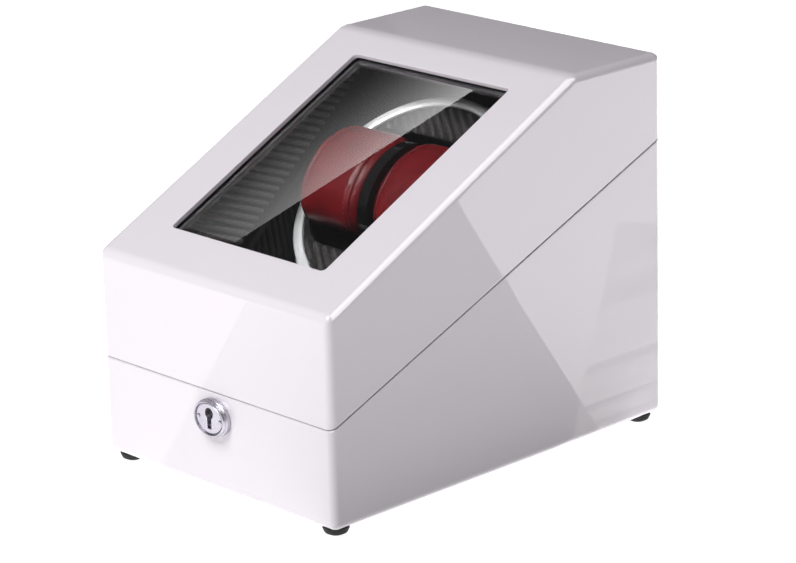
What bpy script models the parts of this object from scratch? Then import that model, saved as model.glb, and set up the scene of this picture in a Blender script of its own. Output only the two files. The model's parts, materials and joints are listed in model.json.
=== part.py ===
"""Watch winder box: a lacquered case with a hinged, windowed lid over a tilted turntable.

Metres, +Z up. X runs across the box, the front face looks along -Y, and z = 0 is the table under the feet.
The turntable carries two cushions and is driven by a round belt from a geared motor behind the deck.
"""

import math

import bmesh
import bpy
from mathutils import Matrix, Vector

# ---------------------------------------------------------------- driving dimensions

GAP = 0.0003  # left between pieces that touch

# Case, measured over the lacquered body and without its feet
WIDTH = 0.190
DEPTH = 0.260
FRONT_HEIGHT = 0.120
BACK_HEIGHT = 0.215
FLAT_TOP = 0.071  # depth of the level strip behind the sloping front
WALL = 0.008
EDGE_RADIUS = 0.0045
EDGE_STEPS = 4
LIP_RADIUS = 0.0007  # rounding of the seam's and the window's edges
FOOT_DROP = 0.005  # the feet hold the body this far off the table

# The slanting seam between base and lid, as heights above the body's underside
SEAM_FRONT = 0.0572
SEAM_BACK = 0.1657

# Window in the slope: distances along the slope from the front edge
WINDOW_HALF_WIDTH = 0.0625
WINDOW_LOW = 0.0305
WINDOW_HIGH = 0.191
WINDOW_RADIUS = 0.0027
WINDOW_LIP = 0.0026  # lacquered lip left above the pane
PANE_LAP = 0.005  # how far the pane reaches under the lip
PANE_THICKNESS = 0.002
PANE_BEVEL_WIDTH = 0.0045  # polished bevel round the pane, measured inwards from the window
PANE_BEVEL_DEPTH = 0.0007
RETAINER_INSET = 0.002  # the retaining frame's opening is this much smaller than the window

# Turntable: its frame has its origin on the spin axis, at the rim's top
TABLE_TILT = math.radians(40.6)
TABLE_CENTRE = Vector((0.0, 0.014, 0.1433))
RIM_OUTER = 0.0706
RIM_INNER = 0.0646
RIM_HEIGHT = 0.005
DISC_SUNK = 0.002  # the disc's face lies this far below the rim's top
WELL_HALF_X = 0.0565
WELL_HALF_U = 0.042
WELL_CORNER = 0.024
WELL_FLOOR = -0.026
TUB_SKIN = 0.002
DIVIDER_HALF = 0.004

# Cushions, in the turntable's frame
CUSHION_HALF_U = 0.034
CUSHION_LOW = -0.0185
CUSHION_HIGH = 0.0285

# Drive
SHAFT_RADIUS = 0.004
BELT_LEVEL = -0.0323
BELT_RADIUS = 0.00125
DRIVEN_PITCH = 0.028
DRIVE_PITCH = 0.007  # the ratio of the two pitch radii is the belt's 4 to 1
MOTOR_OFFSET = 0.040  # from the turntable's axis down to the motor's
MOTOR_SHAFT_RADIUS = 0.0015
PLATE_TOP = -0.0618
PLATE_THICKNESS = 0.003
FRAME_HALF_WIDTH = 0.0755
FRAME_SHEET = 0.002

# Deck
DECK_HALF_WIDTH = 0.0848
DECK_TOP = -0.0015
DECK_THICKNESS = 0.003
DECK_HOLE = 0.072
DECK_UPPER_END = 0.0905
DECK_FRONT_Y = -0.1205

# Linings
LINING = 0.0015

# Hinges at the back of the seam
HINGE_RADIUS = 0.0022
HINGE_PIN_RADIUS = 0.0010
HINGE_WIDTH = 0.030
HINGE_LEAF = 0.0012
HINGE_DROP = 0.014
HINGE_CENTRES = (-0.050, 0.050)

# Lock in the front face
LOCK_HEIGHT = 0.0482  # the key's axis
PLATE_HALF_X = 0.0135
PLATE_HALF_Z = 0.01075
PLATE_PROUD = 0.0047
CRANK = 0.0038  # rotor axis to drive pin
CRANK_START = math.radians(-45)
BOLT_MIDDLE_Y = -0.1130
BOLT_HEIGHT = LOCK_HEIGHT + 0.0103
LOCK_CASE_HALF = 0.022
LOCK_CASE_LOW = LOCK_HEIGHT - 0.0064
LOCK_CASE_HIGH = LOCK_HEIGHT + 0.0154
LOCK_CASE_SKIN = 0.0012
KEEPER_SLOT = (0.0092, 0.0134)  # the case's slot that the keeper drops into, from left to right
KEYHOLE_RADIUS = 0.0033
KEYHOLE_FOOT = 0.0060  # from the key's axis down to the keyhole's foot
KEY_BORE_RADIUS = 0.0062  # in the front wall, behind the escutcheon
KEEPER_LEFT = 0.0  # the keeper's foot on the lid's front wall
KEEPER_RIGHT = 0.0226
KEEPER_LOW = 0.0690
KEEPER_HIGH = 0.0830

# Controls in the back wall
PANEL_HEIGHT = 0.062
PANEL_HALF_X = 0.038
PANEL_HALF_Z = 0.013
PANEL_FLOOR_Y = 0.1220
KNOB_X = 0.0
JACK_X = -0.024
SWITCH_X = 0.024
ROCKER_TILT = math.radians(8)

# Feet and the cover under the case
FOOT_RADIUS = 0.0075
FOOT_X = 0.085
FOOT_Y = 0.120
COVER_HALF_X = 0.062
COVER_HALF_Y = 0.075

# ---------------------------------------------------------------- derived frames

HALF_WIDTH = WIDTH / 2
HALF_DEPTH = DEPTH / 2
FLOOR_TOP = FOOT_DROP + WALL
SLOPE_RUN = DEPTH - FLAT_TOP
SLOPE = math.atan2(BACK_HEIGHT - FRONT_HEIGHT, SLOPE_RUN)
SEAM_SLOPE = (SEAM_BACK - SEAM_FRONT) / DEPTH
CASE_FRAME = Matrix.Identity(4)
TABLE_FRAME = Matrix.Translation(TABLE_CENTRE) @ Matrix.Rotation(TABLE_TILT, 4, "X")
SLOPE_FRAME = Matrix.Translation((0, -HALF_DEPTH, FOOT_DROP + FRONT_HEIGHT)) @ Matrix.Rotation(SLOPE, 4, "X")
MOTOR_FRAME = TABLE_FRAME @ Matrix.Translation((0, -MOTOR_OFFSET, 0))
TOWARDS_FRONT = Matrix.Rotation(math.radians(90), 4, "X")  # local z to -Y, local y to +Z
TOWARDS_BACK = Matrix.Rotation(math.radians(-90), 4, "X")  # local z to +Y, local y to -Z


def seam_height(y, offset=0.0):
    """World height of the seam plane at y, moved up by offset."""
    return FOOT_DROP + SEAM_FRONT + SEAM_SLOPE * (y + HALF_DEPTH) + offset


HINGE_AXIS = Vector((0, HALF_DEPTH + GAP + HINGE_RADIUS, seam_height(HALF_DEPTH)))

# Colour, roughness, metallic value and alpha of each finish
FINISHES = {
    "white_lacquer": ((0.86, 0.85, 0.88), 0.08, 0.0, 1.0),
    "glass": ((0.75, 0.78, 0.80), 0.03, 0.0, 0.3),
    "black_plastic": ((0.012, 0.012, 0.013), 0.35, 0.0, 1.0),
    "gloss_black": ((0.010, 0.009, 0.009), 0.10, 0.0, 1.0),
    "carbon_lining": ((0.060, 0.055, 0.058), 0.30, 0.0, 1.0),
    "silver_rim": ((0.72, 0.72, 0.73), 0.18, 1.0, 1.0),
    "red_leather": ((0.28, 0.012, 0.022), 0.38, 0.0, 1.0),
    "steel": ((0.60, 0.60, 0.61), 0.30, 1.0, 1.0),
    "nickel": ((0.70, 0.69, 0.67), 0.20, 1.0, 1.0),
    "brass": ((0.70, 0.50, 0.20), 0.30, 1.0, 1.0),
    "rubber": ((0.015, 0.015, 0.015), 0.80, 0.0, 1.0),
    "wood": ((0.45, 0.32, 0.20), 0.65, 0.0, 1.0),
    "circuit_board": ((0.02, 0.16, 0.07), 0.45, 0.0, 1.0),
    "red_wire": ((0.55, 0.02, 0.02), 0.45, 0.0, 1.0),
}

# ---------------------------------------------------------------- building blocks


def finish_with(obj, finish):
    """Gives obj a Principled material of its own in that finish."""
    colour, roughness, metallic, alpha = FINISHES[finish]
    material = bpy.data.materials.new(f"{obj.name}_{finish}")
    material.use_nodes = True
    shader = material.node_tree.nodes["Principled BSDF"]
    shader.inputs["Base Color"].default_value = (*colour, 1.0)
    shader.inputs["Roughness"].default_value = roughness
    shader.inputs["Metallic"].default_value = metallic
    shader.inputs["Alpha"].default_value = alpha
    obj.data.materials.clear()
    obj.data.materials.append(material)


def add_object(name, bm, finish=None, frame=CASE_FRAME, smooth=False):
    """Turns a bmesh into an object standing in frame."""
    bmesh.ops.recalc_face_normals(bm, faces=bm.faces)
    mesh = bpy.data.meshes.new(name)
    bm.to_mesh(mesh)
    bm.free()
    if smooth:
        mesh.shade_smooth()
        mesh.set_sharp_from_angle(angle=math.radians(35))
    obj = bpy.data.objects.new(name, mesh)
    bpy.context.scene.collection.objects.link(obj)
    obj.matrix_world = frame
    if finish:
        finish_with(obj, finish)
    return obj


def loft(rings):
    """A skin through rings of equally many points, with a face on each end."""
    bm = bmesh.new()
    rows = [[bm.verts.new(point) for point in ring] for ring in rings]
    count = len(rows[0])
    for low, high in zip(rows, rows[1:]):
        for i in range(count):
            j = (i + 1) % count
            bm.faces.new((low[i], low[j], high[j], high[i]))
    bm.faces.new(list(reversed(rows[0])))
    bm.faces.new(rows[-1])
    return bm


def prism(outline, low, high, along="Z"):
    """An outline extruded from low to high: (x, y) along Z, (y, z) along X or (x, z) along Y."""
    place = {
        "X": lambda a, b, t: (t, a, b),
        "Y": lambda a, b, t: (a, t, b),
        "Z": lambda a, b, t: (a, b, t),
    }[along]
    return loft([[place(a, b, t) for a, b in outline] for t in (low, high)])


def block(low, high):
    """An upright box between two corners."""
    outline = [(low[0], low[1]), (high[0], low[1]), (high[0], high[1]), (low[0], high[1])]
    return prism(outline, low[2], high[2])


def arc(centre, radius, start, end, steps):
    """Points on a circle, with the angles in degrees."""
    turns = [math.radians(start + (end - start) * i / steps) for i in range(steps + 1)]
    return [(centre[0] + radius * math.cos(a), centre[1] + radius * math.sin(a)) for a in turns]


def rounded_rectangle(half_x, half_y, radius, steps=4, centre=(0.0, 0.0)):
    """Outline of a rectangle with round corners."""
    points = []
    for sign_x, sign_y, start in ((1, 1, 0), (-1, 1, 90), (-1, -1, 180), (1, -1, 270)):
        corner = (centre[0] + sign_x * (half_x - radius), centre[1] + sign_y * (half_y - radius))
        points += arc(corner, radius, start, start + 90, steps)
    return points


def turned(profile, steps=32):
    """Spins (radius, height) points round z: an open profile ends on the axis, any other closes on itself."""
    bm = bmesh.new()
    on_axis = profile[0][0] == 0.0
    rings = []
    for radius, height in profile:
        if radius == 0.0:
            rings.append([bm.verts.new((0, 0, height))])
            continue
        ring = []
        for i in range(steps):
            angle = math.tau * i / steps
            ring.append(bm.verts.new((radius * math.cos(angle), radius * math.sin(angle), height)))
        rings.append(ring)
    pairs = list(zip(rings, rings[1:]))
    if not on_axis:
        pairs.append((rings[-1], rings[0]))
    for first, second in pairs:
        for i in range(steps):
            j = (i + 1) % steps
            if len(first) == 1:
                bm.faces.new((first[0], second[i], second[j]))
            elif len(second) == 1:
                bm.faces.new((first[i], first[j], second[0]))
            else:
                bm.faces.new((first[i], first[j], second[j], second[i]))
    return bm


def disc_profile(radius, low, high):
    """A plain solid cylinder."""
    return [(0.0, low), (radius, low), (radius, high), (0.0, high)]


def sleeve_profile(inner, outer, low, high):
    """A plain tube."""
    return [(inner, low), (outer, low), (outer, high), (inner, high)]


def combine(target, bm, operation, frame=CASE_FRAME):
    """Cuts, joins or intersects target with the solid in bm, and keeps the result as target's mesh."""
    tool = add_object(f"{target.name}_tool", bm, frame=frame)
    modifier = target.modifiers.new("combine", "BOOLEAN")
    modifier.operation = operation
    modifier.solver = "EXACT"
    modifier.object = tool
    bpy.context.view_layer.update()
    evaluated = target.evaluated_get(bpy.context.evaluated_depsgraph_get())
    result = bpy.data.meshes.new_from_object(evaluated)
    target.modifiers.clear()
    target.data = result
    bpy.data.objects.remove(tool)


def cut(target, bm, frame=CASE_FRAME):
    """Takes the solid in bm away from target."""
    combine(target, bm, "DIFFERENCE", frame)


def join(target, bm, frame=CASE_FRAME):
    """Adds the solid in bm to target."""
    combine(target, bm, "UNION", frame)


def smooth_route(points, steps):
    """Points on the smooth curve that passes through each of the given ones."""
    ends = [points[0] * 2 - points[1], *points, points[-1] * 2 - points[-2]]
    route = []
    for a, b, c, d in zip(ends, ends[1:], ends[2:], ends[3:]):
        for i in range(steps):
            t = i / steps
            bend = (2 * a - 5 * b + 4 * c - d) * t**2 + (3 * b - a - 3 * c + d) * t**3
            route.append(0.5 * (2 * b + (c - a) * t + bend))
    route.append(points[-1])
    return route


def tube(name, route, radius, finish, frame=CASE_FRAME, cyclic=False):
    """A round wire, belt or cable along route."""
    curve = bpy.data.curves.new(name, "CURVE")
    curve.dimensions = "3D"
    curve.bevel_depth = radius
    curve.bevel_resolution = 2
    curve.use_fill_caps = not cyclic
    spline = curve.splines.new("POLY")
    spline.points.add(len(route) - 1)
    for point, place in zip(spline.points, route):
        point.co = (*place, 1.0)
    spline.use_cyclic_u = cyclic
    obj = bpy.data.objects.new(name, curve)
    bpy.context.scene.collection.objects.link(obj)
    obj.matrix_world = frame
    finish_with(obj, finish)
    return obj


def table_point(x, u, h):
    """World place of a point in the turntable's frame."""
    return TABLE_FRAME @ Vector((x, u, h))


# ---------------------------------------------------------------- case and lid


def case_outline(inset):
    """Side view of the case, moved inwards by inset."""
    low = FOOT_DROP + inset
    high = FOOT_DROP + BACK_HEIGHT - inset
    front = -HALF_DEPTH + inset
    back = HALF_DEPTH - inset
    front_top = FOOT_DROP + FRONT_HEIGHT + inset * math.tan(SLOPE) - inset / math.cos(SLOPE)
    slope_end = front + (high - front_top) / math.tan(SLOPE)
    return [(front, low), (back, low), (back, high), (slope_end, high), (front, front_top)]


def beside_seam(offset, upwards):
    """A block that fills everything above or below the seam plane moved by offset."""
    reach = 0.3
    far = reach if upwards else -reach
    outline = [
        (-reach, seam_height(-reach, offset)),
        (reach, seam_height(reach, offset)),
        (reach, seam_height(reach, offset) + far),
        (-reach, seam_height(-reach, offset) + far),
    ]
    return prism(outline, -reach, reach, "X")


def round_edges(obj, chosen):
    """Rounds off the edges that have both ends at chosen points."""
    bm = bmesh.new()
    bm.from_mesh(obj.data)
    edges = [edge for edge in bm.edges if all(chosen(vert.co) for vert in edge.verts)]
    bmesh.ops.bevel(bm, geom=edges, offset=LIP_RADIUS, segments=2, profile=0.5, affect="EDGES")
    bm.to_mesh(obj.data)
    bm.free()


def on_outside_of_case(point):
    """True on the case's four upright outer faces and the rounded corners between them."""
    into = WALL / 2
    return abs(point.x) > HALF_WIDTH - into or abs(point.y) > HALF_DEPTH - into


def make_shell(name, upwards):
    """The half of the hollow case above or below the seam."""
    bm = prism(case_outline(0.0), -HALF_WIDTH, HALF_WIDTH, "X")
    bmesh.ops.bevel(
        bm,
        geom=list(bm.edges),
        offset=EDGE_RADIUS,
        segments=EDGE_STEPS,
        profile=0.5,
        affect="EDGES",
        clamp_overlap=True,
    )
    shell = add_object(name, bm)
    cut(shell, prism(case_outline(WALL), -HALF_WIDTH + WALL, HALF_WIDTH - WALL, "X"))
    half_gap = GAP if upwards else -GAP
    combine(shell, beside_seam(half_gap, upwards), "INTERSECT")
    near = GAP / 10
    round_edges(
        shell,
        lambda point: abs(point.z - seam_height(point.y, half_gap)) < near and on_outside_of_case(point),
    )
    return shell


def make_base_shell():
    """The lower half, with its cover opening, screw holes, control opening and key hole."""
    shell = make_shell("base_shell", upwards=False)
    hole = rounded_rectangle(COVER_HALF_X - 0.007, COVER_HALF_Y - 0.007, 0.004)
    cut(shell, prism(hole, FOOT_DROP - 0.002, FLOOR_TOP + 0.002))
    recess = rounded_rectangle(COVER_HALF_X, COVER_HALF_Y, 0.006)
    cut(shell, prism(recess, FOOT_DROP - 0.002, FOOT_DROP + 0.0033))
    for x, y in cover_screw_places():
        cut(shell, prism(arc((x, y), 0.0013, 0, 337.5, 15), FOOT_DROP - 0.002, FLOOR_TOP - 0.001))
    panel_hole = rounded_rectangle(PANEL_HALF_X + 0.0023, PANEL_HALF_Z + 0.0023, 0.003, 3, (0, PANEL_HEIGHT))
    cut(shell, prism(panel_hole, HALF_DEPTH - WALL - 0.002, HALF_DEPTH + 0.002, "Y"))
    key_hole = arc((0, LOCK_HEIGHT), KEY_BORE_RADIUS, 0, 345, 23)
    cut(shell, prism(key_hole, -HALF_DEPTH - 0.002, -HALF_DEPTH + WALL + 0.002, "Y"))
    finish_with(shell, "white_lacquer")
    return shell


def window_outline(grow):
    """The window's outline in the slope, made larger by grow on every side."""
    centre = (0, (WINDOW_LOW + WINDOW_HIGH) / 2)
    half_length = (WINDOW_HIGH - WINDOW_LOW) / 2 + grow
    return rounded_rectangle(WINDOW_HALF_WIDTH + grow, half_length, WINDOW_RADIUS, 4, centre)


def make_lid_shell():
    """The upper half, with the window cut out and a rebate behind it for the pane."""
    shell = make_shell("lid_shell", upwards=True)
    cut(shell, prism(window_outline(0.0), -0.02, 0.01), SLOPE_FRAME)
    to_slope = SLOPE_FRAME.inverted()
    middle = (WINDOW_LOW + WINDOW_HIGH) / 2
    half_length = (WINDOW_HIGH - WINDOW_LOW) / 2 + GAP

    def on_window_edge(point):
        x, along, height = to_slope @ point
        beside = abs(x) < WINDOW_HALF_WIDTH + GAP and abs(along - middle) < half_length
        return beside and abs(height) < GAP / 10

    round_edges(shell, on_window_edge)
    cut(shell, prism(window_outline(PANE_LAP), -0.02, -WINDOW_LIP), SLOPE_FRAME)
    finish_with(shell, "white_lacquer")
    return shell


def make_window():
    """The bevelled pane, and the frame that holds it up against the lip."""
    pane_top = -WINDOW_LIP - GAP
    pane_low = pane_top - PANE_THICKNESS
    levels = [
        (PANE_LAP - GAP, pane_low),
        (PANE_LAP - GAP, pane_top - PANE_BEVEL_DEPTH),
        (GAP, pane_top - PANE_BEVEL_DEPTH),
        (-PANE_BEVEL_WIDTH, pane_top),
    ]
    pane = loft([[(x, along, height) for x, along in window_outline(grow)] for grow, height in levels])
    pieces = [add_object("window_pane", pane, "glass", SLOPE_FRAME)]
    frame_bm = prism(window_outline(PANE_LAP - GAP), -WALL, pane_low - GAP)
    retainer = add_object("window_retainer", frame_bm, None, SLOPE_FRAME)
    cut(retainer, prism(window_outline(-RETAINER_INSET), -0.02, 0.01), SLOPE_FRAME)
    finish_with(retainer, "black_plastic")
    pieces.append(retainer)
    return pieces


def make_linings():
    """Thin sheets: one folded round the inside of the lid, and one on each side wall of the base."""
    outer = case_outline(WALL + GAP)
    outer_x = HALF_WIDTH - WALL - GAP
    lid_lining = add_object("lid_lining", prism(outer, -outer_x, outer_x, "X"))
    inner_x = outer_x - LINING
    cut(lid_lining, prism(case_outline(WALL + GAP + LINING), -inner_x, inner_x, "X"))
    combine(lid_lining, beside_seam(GAP, upwards=True), "INTERSECT")
    cut(lid_lining, prism(window_outline(PANE_LAP + GAP), -0.02, 0.01), SLOPE_FRAME)
    clear = 0.0006
    low = Vector((KEEPER_LEFT - clear, -HALF_DEPTH, KEEPER_LOW - 0.02))
    high = Vector((KEEPER_RIGHT + clear, -HALF_DEPTH + 0.02, KEEPER_HIGH + clear))
    cut(lid_lining, block(low, high))
    finish_with(lid_lining, "carbon_lining")
    for side, sign in (("left", -1), ("right", 1)):
        low_x, high_x = sorted((sign * outer_x, sign * inner_x))
        lining = add_object(f"base_lining_{side}", prism(outer, low_x, high_x, "X"))
        combine(lining, beside_seam(-GAP, upwards=False), "INTERSECT")
        finish_with(lining, "carbon_lining")
    return lid_lining


def make_feet():
    """Four turned rubber feet."""
    profile = [
        (0.0, 0.0),
        (FOOT_RADIUS * 0.55, 0.0),
        (FOOT_RADIUS * 0.85, 0.0012),
        (FOOT_RADIUS, 0.0035),
        (FOOT_RADIUS, FOOT_DROP - GAP),
        (0.0, FOOT_DROP - GAP),
    ]
    for name, x, y in (
        ("foot_front_left", -FOOT_X, -FOOT_Y),
        ("foot_front_right", FOOT_X, -FOOT_Y),
        ("foot_back_left", -FOOT_X, FOOT_Y),
        ("foot_back_right", FOOT_X, FOOT_Y),
    ):
        add_object(name, turned(profile, 20), "rubber", Matrix.Translation((x, y, 0)), smooth=True)


def cover_screw_places():
    """Where the bottom cover's screws go, near its corners."""
    inset = 0.0042
    far_x = COVER_HALF_X - inset
    far_y = COVER_HALF_Y - inset
    return [(-far_x, -far_y), (far_x, -far_y), (far_x, far_y), (-far_x, far_y)]


def make_bottom_cover():
    """The slotted cover under the drive, and its countersunk screws."""
    outline = rounded_rectangle(COVER_HALF_X - GAP, COVER_HALF_Y - GAP, 0.006)
    cover = add_object("bottom_cover", prism(outline, FOOT_DROP + 0.0005, FOOT_DROP + 0.003))
    for x, y in cover_screw_places():
        cut(cover, prism(arc((x, y), 0.0016, 0, 337.5, 15), FOOT_DROP - 0.002, FOOT_DROP + 0.005))
        cut(cover, prism(arc((x, y), 0.0032, 0, 337.5, 15), FOOT_DROP - 0.002, FOOT_DROP + 0.0018))
    slot_pitch = 0.008
    for i in range(-2, 3):
        slot = rounded_rectangle(0.016, 0.0011, 0.001, 3, (0, i * slot_pitch))
        cut(cover, prism(slot, FOOT_DROP - 0.002, FOOT_DROP + 0.005))
    finish_with(cover, "black_plastic")
    shank = 0.001
    head = 0.0029
    profile = [
        (0.0, FOOT_DROP + 0.0006),
        (head, FOOT_DROP + 0.0006),
        (head, FOOT_DROP + 0.0015),
        (shank, FOOT_DROP + 0.0015),
        (shank, FLOOR_TOP - 0.0015),
        (0.0, FLOOR_TOP - 0.0015),
    ]
    for number, (x, y) in enumerate(cover_screw_places(), 1):
        add_object(f"cover_screw_{number}", turned(profile, 12), "steel", Matrix.Translation((x, y, 0)))


# ---------------------------------------------------------------- hinges


def make_hinge(side, centre):
    """A butt hinge: the base leaf has the two outer knuckles and the lid leaf the middle one."""
    knuckle = HINGE_WIDTH / 3
    left = centre - HINGE_WIDTH / 2
    axis = (HINGE_AXIS.y, HINGE_AXIS.z)
    leaf_low_y = HALF_DEPTH + GAP
    leaf_high_y = leaf_low_y + HINGE_LEAF
    clear = HINGE_RADIUS + 0.0007

    def leaf(name, direction, spans):
        far = HINGE_AXIS.z + direction * HINGE_DROP
        near = HINGE_AXIS.z + direction * clear
        z_low, z_high = sorted((far, near))
        middle = (centre, (z_low + z_high) / 2)
        outline = rounded_rectangle(HINGE_WIDTH / 2, (z_high - z_low) / 2, 0.002, 3, middle)
        made = add_object(name, prism(outline, leaf_low_y, leaf_high_y, "Y"))
        for start, end in spans:
            z_low, z_high = sorted((HINGE_AXIS.z, near + direction * 0.001))
            join(made, block((start, leaf_low_y, z_low), (end, leaf_high_y, z_high)))
            join(made, prism(arc(axis, HINGE_RADIUS, 7.5, 352.5, 23), start, end, "X"))
            cut(made, prism(arc(axis, HINGE_PIN_RADIUS + GAP, 15, 345, 11), start - 0.001, end + 0.001, "X"))
        for x in (centre - HINGE_WIDTH * 0.3, centre + HINGE_WIDTH * 0.3):
            hole = arc((x, HINGE_AXIS.z + direction * 0.009), 0.0014, 0, 330, 11)
            cut(made, prism(hole, leaf_low_y - 0.001, leaf_high_y + 0.001, "Y"))
        finish_with(made, "nickel")
        return made

    outer = [(left, left + knuckle - GAP), (left + 2 * knuckle + GAP, left + HINGE_WIDTH)]
    leaf(f"hinge_base_leaf_{side}", -1, outer)
    lid_leaf = leaf(f"hinge_lid_leaf_{side}", 1, [(left + knuckle, left + 2 * knuckle)])
    pin = prism(arc(axis, HINGE_PIN_RADIUS, 15, 345, 11), left - 0.0004, left + HINGE_WIDTH + 0.0004, "X")
    add_object(f"hinge_pin_{side}", pin, "steel")
    return lid_leaf


# ---------------------------------------------------------------- lock


def make_lock_plate():
    """Oval escutcheon with a raised rim and a groove inside it, standing on the front face."""
    squash = PLATE_HALF_Z / PLATE_HALF_X
    proud = PLATE_PROUD
    full = PLATE_HALF_X
    face = proud * 0.86
    profile = [
        (0.0, GAP),
        (full, GAP),
        (full, proud * 0.50),
        (full * 0.965, proud * 0.60),
        (full * 0.950, proud * 0.86),
        (full * 0.925, proud * 0.97),
        (full * 0.890, proud),
        (full * 0.855, proud * 0.96),
        (full * 0.835, proud * 0.66),
        (full * 0.805, proud * 0.62),
        (full * 0.780, face - 0.0002),
        (full * 0.765, face),
        (0.0, face),
    ]
    bm = turned(profile, 60)
    bmesh.ops.scale(bm, vec=(1, squash, 1), verts=bm.verts)
    frame = Matrix.Translation((0, -HALF_DEPTH, LOCK_HEIGHT)) @ TOWARDS_FRONT
    plate = add_object("lock_escutcheon", bm, None, frame)
    foot_half = KEYHOLE_RADIUS * 0.5
    keyhole = arc((0, KEYHOLE_RADIUS * 0.9), KEYHOLE_RADIUS, -58, 238, 19)
    keyhole += [(-foot_half, -KEYHOLE_FOOT), (foot_half, -KEYHOLE_FOOT)]
    cut(plate, prism(keyhole, -0.001, 0.01), frame)
    for side, sign in (("left", -1), ("right", 1)):
        place = frame @ Matrix.Translation((sign * full * 0.66, 0, 0))
        cut(plate, prism(arc((0, 0), 0.0008, 15, 345, 11), -0.001, 0.01), place)
        profile = [
            (0.0, GAP),
            (0.0005, GAP),
            (0.0005, face + GAP),
            (0.0012, face + GAP),
            (0.0009, face + 0.0005),
            (0.0, face + 0.0006),
        ]
        add_object(f"lock_pin_{side}", turned(profile, 12), "nickel", place, smooth=True)
    finish_with(plate, "nickel")


def make_lock_works():
    """Case behind the front wall, the rotor that the key turns, and the bolt that it slides."""
    wall_y = -HALF_DEPTH + WALL + GAP
    skin = LOCK_CASE_SKIN
    half = LOCK_CASE_HALF
    low, high = LOCK_CASE_LOW, LOCK_CASE_HIGH
    slot_left, slot_right = KEEPER_SLOT
    case_back_y = -0.1090
    behind = case_back_y + 0.009
    case = add_object("lock_case", block((-half, wall_y, low), (half, case_back_y, high)))
    cut(case, block((-half + skin, wall_y + skin, low + skin), (half - skin, behind, high - skin)))
    cut(case, prism(arc((0, LOCK_HEIGHT), 0.0035, 0, 345, 23), wall_y - 0.002, wall_y + 0.004, "Y"))
    cut(case, block((slot_left, wall_y + skin, high - 0.004), (slot_right, behind, high + 0.008)))
    finish_with(case, "steel")
    back_plate_y = case_back_y + GAP
    back_low = (-half, back_plate_y, low)
    back_high = (half, back_plate_y + 0.0015, high)
    back = add_object("lock_back_plate", block(back_low, back_high))
    cut(back, block((slot_left, -0.120, low + 0.0088), (slot_right, behind, high + 0.008)))
    finish_with(back, "steel")

    rotor_frame = Matrix.Translation((0, wall_y + skin + GAP, LOCK_HEIGHT)) @ TOWARDS_BACK
    rotor = add_object("lock_rotor", turned(disc_profile(0.0049, 0.0, 0.0055), 24), None, rotor_frame)
    cut(rotor, block((-0.0012, -0.0008, -0.001), (0.0012, 0.0032, 0.0035)), rotor_frame)
    pin_x = CRANK * math.sin(CRANK_START)
    pin_y = -CRANK * math.cos(CRANK_START)
    pin_centre = Matrix.Translation((pin_x, pin_y, 0))
    join(rotor, turned(disc_profile(0.0010, 0.004, 0.0090), 12), rotor_frame @ pin_centre)
    finish_with(rotor, "brass")

    front_y = BOLT_MIDDLE_Y - 0.0010
    back_y = BOLT_MIDDLE_Y + 0.0010
    bolt_low = LOCK_HEIGHT + 0.0012
    bolt_high = LOCK_HEIGHT + 0.0132
    bolt = add_object("lock_bolt", block((-0.0085, front_y, bolt_low), (0.0020, back_y, bolt_high)))
    tongue_half = 0.0025
    tongue_low = (-0.001, front_y, BOLT_HEIGHT - tongue_half)
    tongue_high = (0.0085, back_y, BOLT_HEIGHT + tongue_half)
    join(bolt, block(tongue_low, tongue_high))
    slot_half = 0.0016
    slot_top = bolt_low + 0.0048
    cut(bolt, block((pin_x - slot_half, -0.12, bolt_low - 0.0002), (pin_x + slot_half, -0.10, slot_top)))
    finish_with(bolt, "brass")


def make_keeper():
    """The lid's staple, whose eye the bolt enters. It leans along the lid's own path as it opens."""
    eye = Vector((BOLT_MIDDLE_Y, BOLT_HEIGHT))
    from_hinge = eye - Vector((HINGE_AXIS.y, HINGE_AXIS.z))
    lean = Vector((from_hinge.y, -from_hinge.x)).normalized()
    across = Vector((lean.y, -lean.x))
    top = eye + lean * 0.0205
    bottom = eye - lean * 0.0050
    outline = []
    for end, sign in ((bottom, 1), (top, 1), (top, -1), (bottom, -1)):
        corner = end + across * 0.0042 * sign
        outline.append((corner.x, corner.y))
    keeper = add_object("lock_keeper", prism(outline, 0.0103, 0.0123, "X"))
    foot_y = -HALF_DEPTH + WALL + GAP
    join(keeper, block((KEEPER_LEFT, foot_y, KEEPER_LOW), (KEEPER_RIGHT, foot_y + 0.0015, KEEPER_HIGH)))
    hole = rounded_rectangle(0.0022, 0.0034, 0.0008, 2, (eye.x, eye.y))
    cut(keeper, prism(hole, 0.008, 0.014, "X"))
    combine(keeper, block((-0.1, foot_y, 0.03), (0.1, 0.0, 0.1)), "INTERSECT")
    finish_with(keeper, "steel")
    return keeper


# ---------------------------------------------------------------- deck and drive


def make_deck():
    """The sloping panel that the turntable sits in, with what holds it and closes the space behind it."""
    front_u = (DECK_FRONT_Y - TABLE_CENTRE.y) / math.cos(TABLE_TILT)
    outline = [
        (-DECK_HALF_WIDTH, front_u),
        (DECK_HALF_WIDTH, front_u),
        (DECK_HALF_WIDTH, DECK_UPPER_END),
        (-DECK_HALF_WIDTH, DECK_UPPER_END),
    ]
    deck_low = DECK_TOP - DECK_THICKNESS
    deck = add_object("deck_panel", prism(outline, deck_low, DECK_TOP), None, TABLE_FRAME)
    cut(deck, turned(disc_profile(DECK_HOLE, deck_low - 0.002, DECK_TOP + 0.002), 64), TABLE_FRAME)
    combine(deck, block((-0.1, DECK_FRONT_Y, 0.0), (0.1, 0.2, 0.3)), "INTERSECT")
    finish_with(deck, "gloss_black")

    make_rear_cover(deck_low - GAP)
    make_battens(deck_low - GAP)


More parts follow.
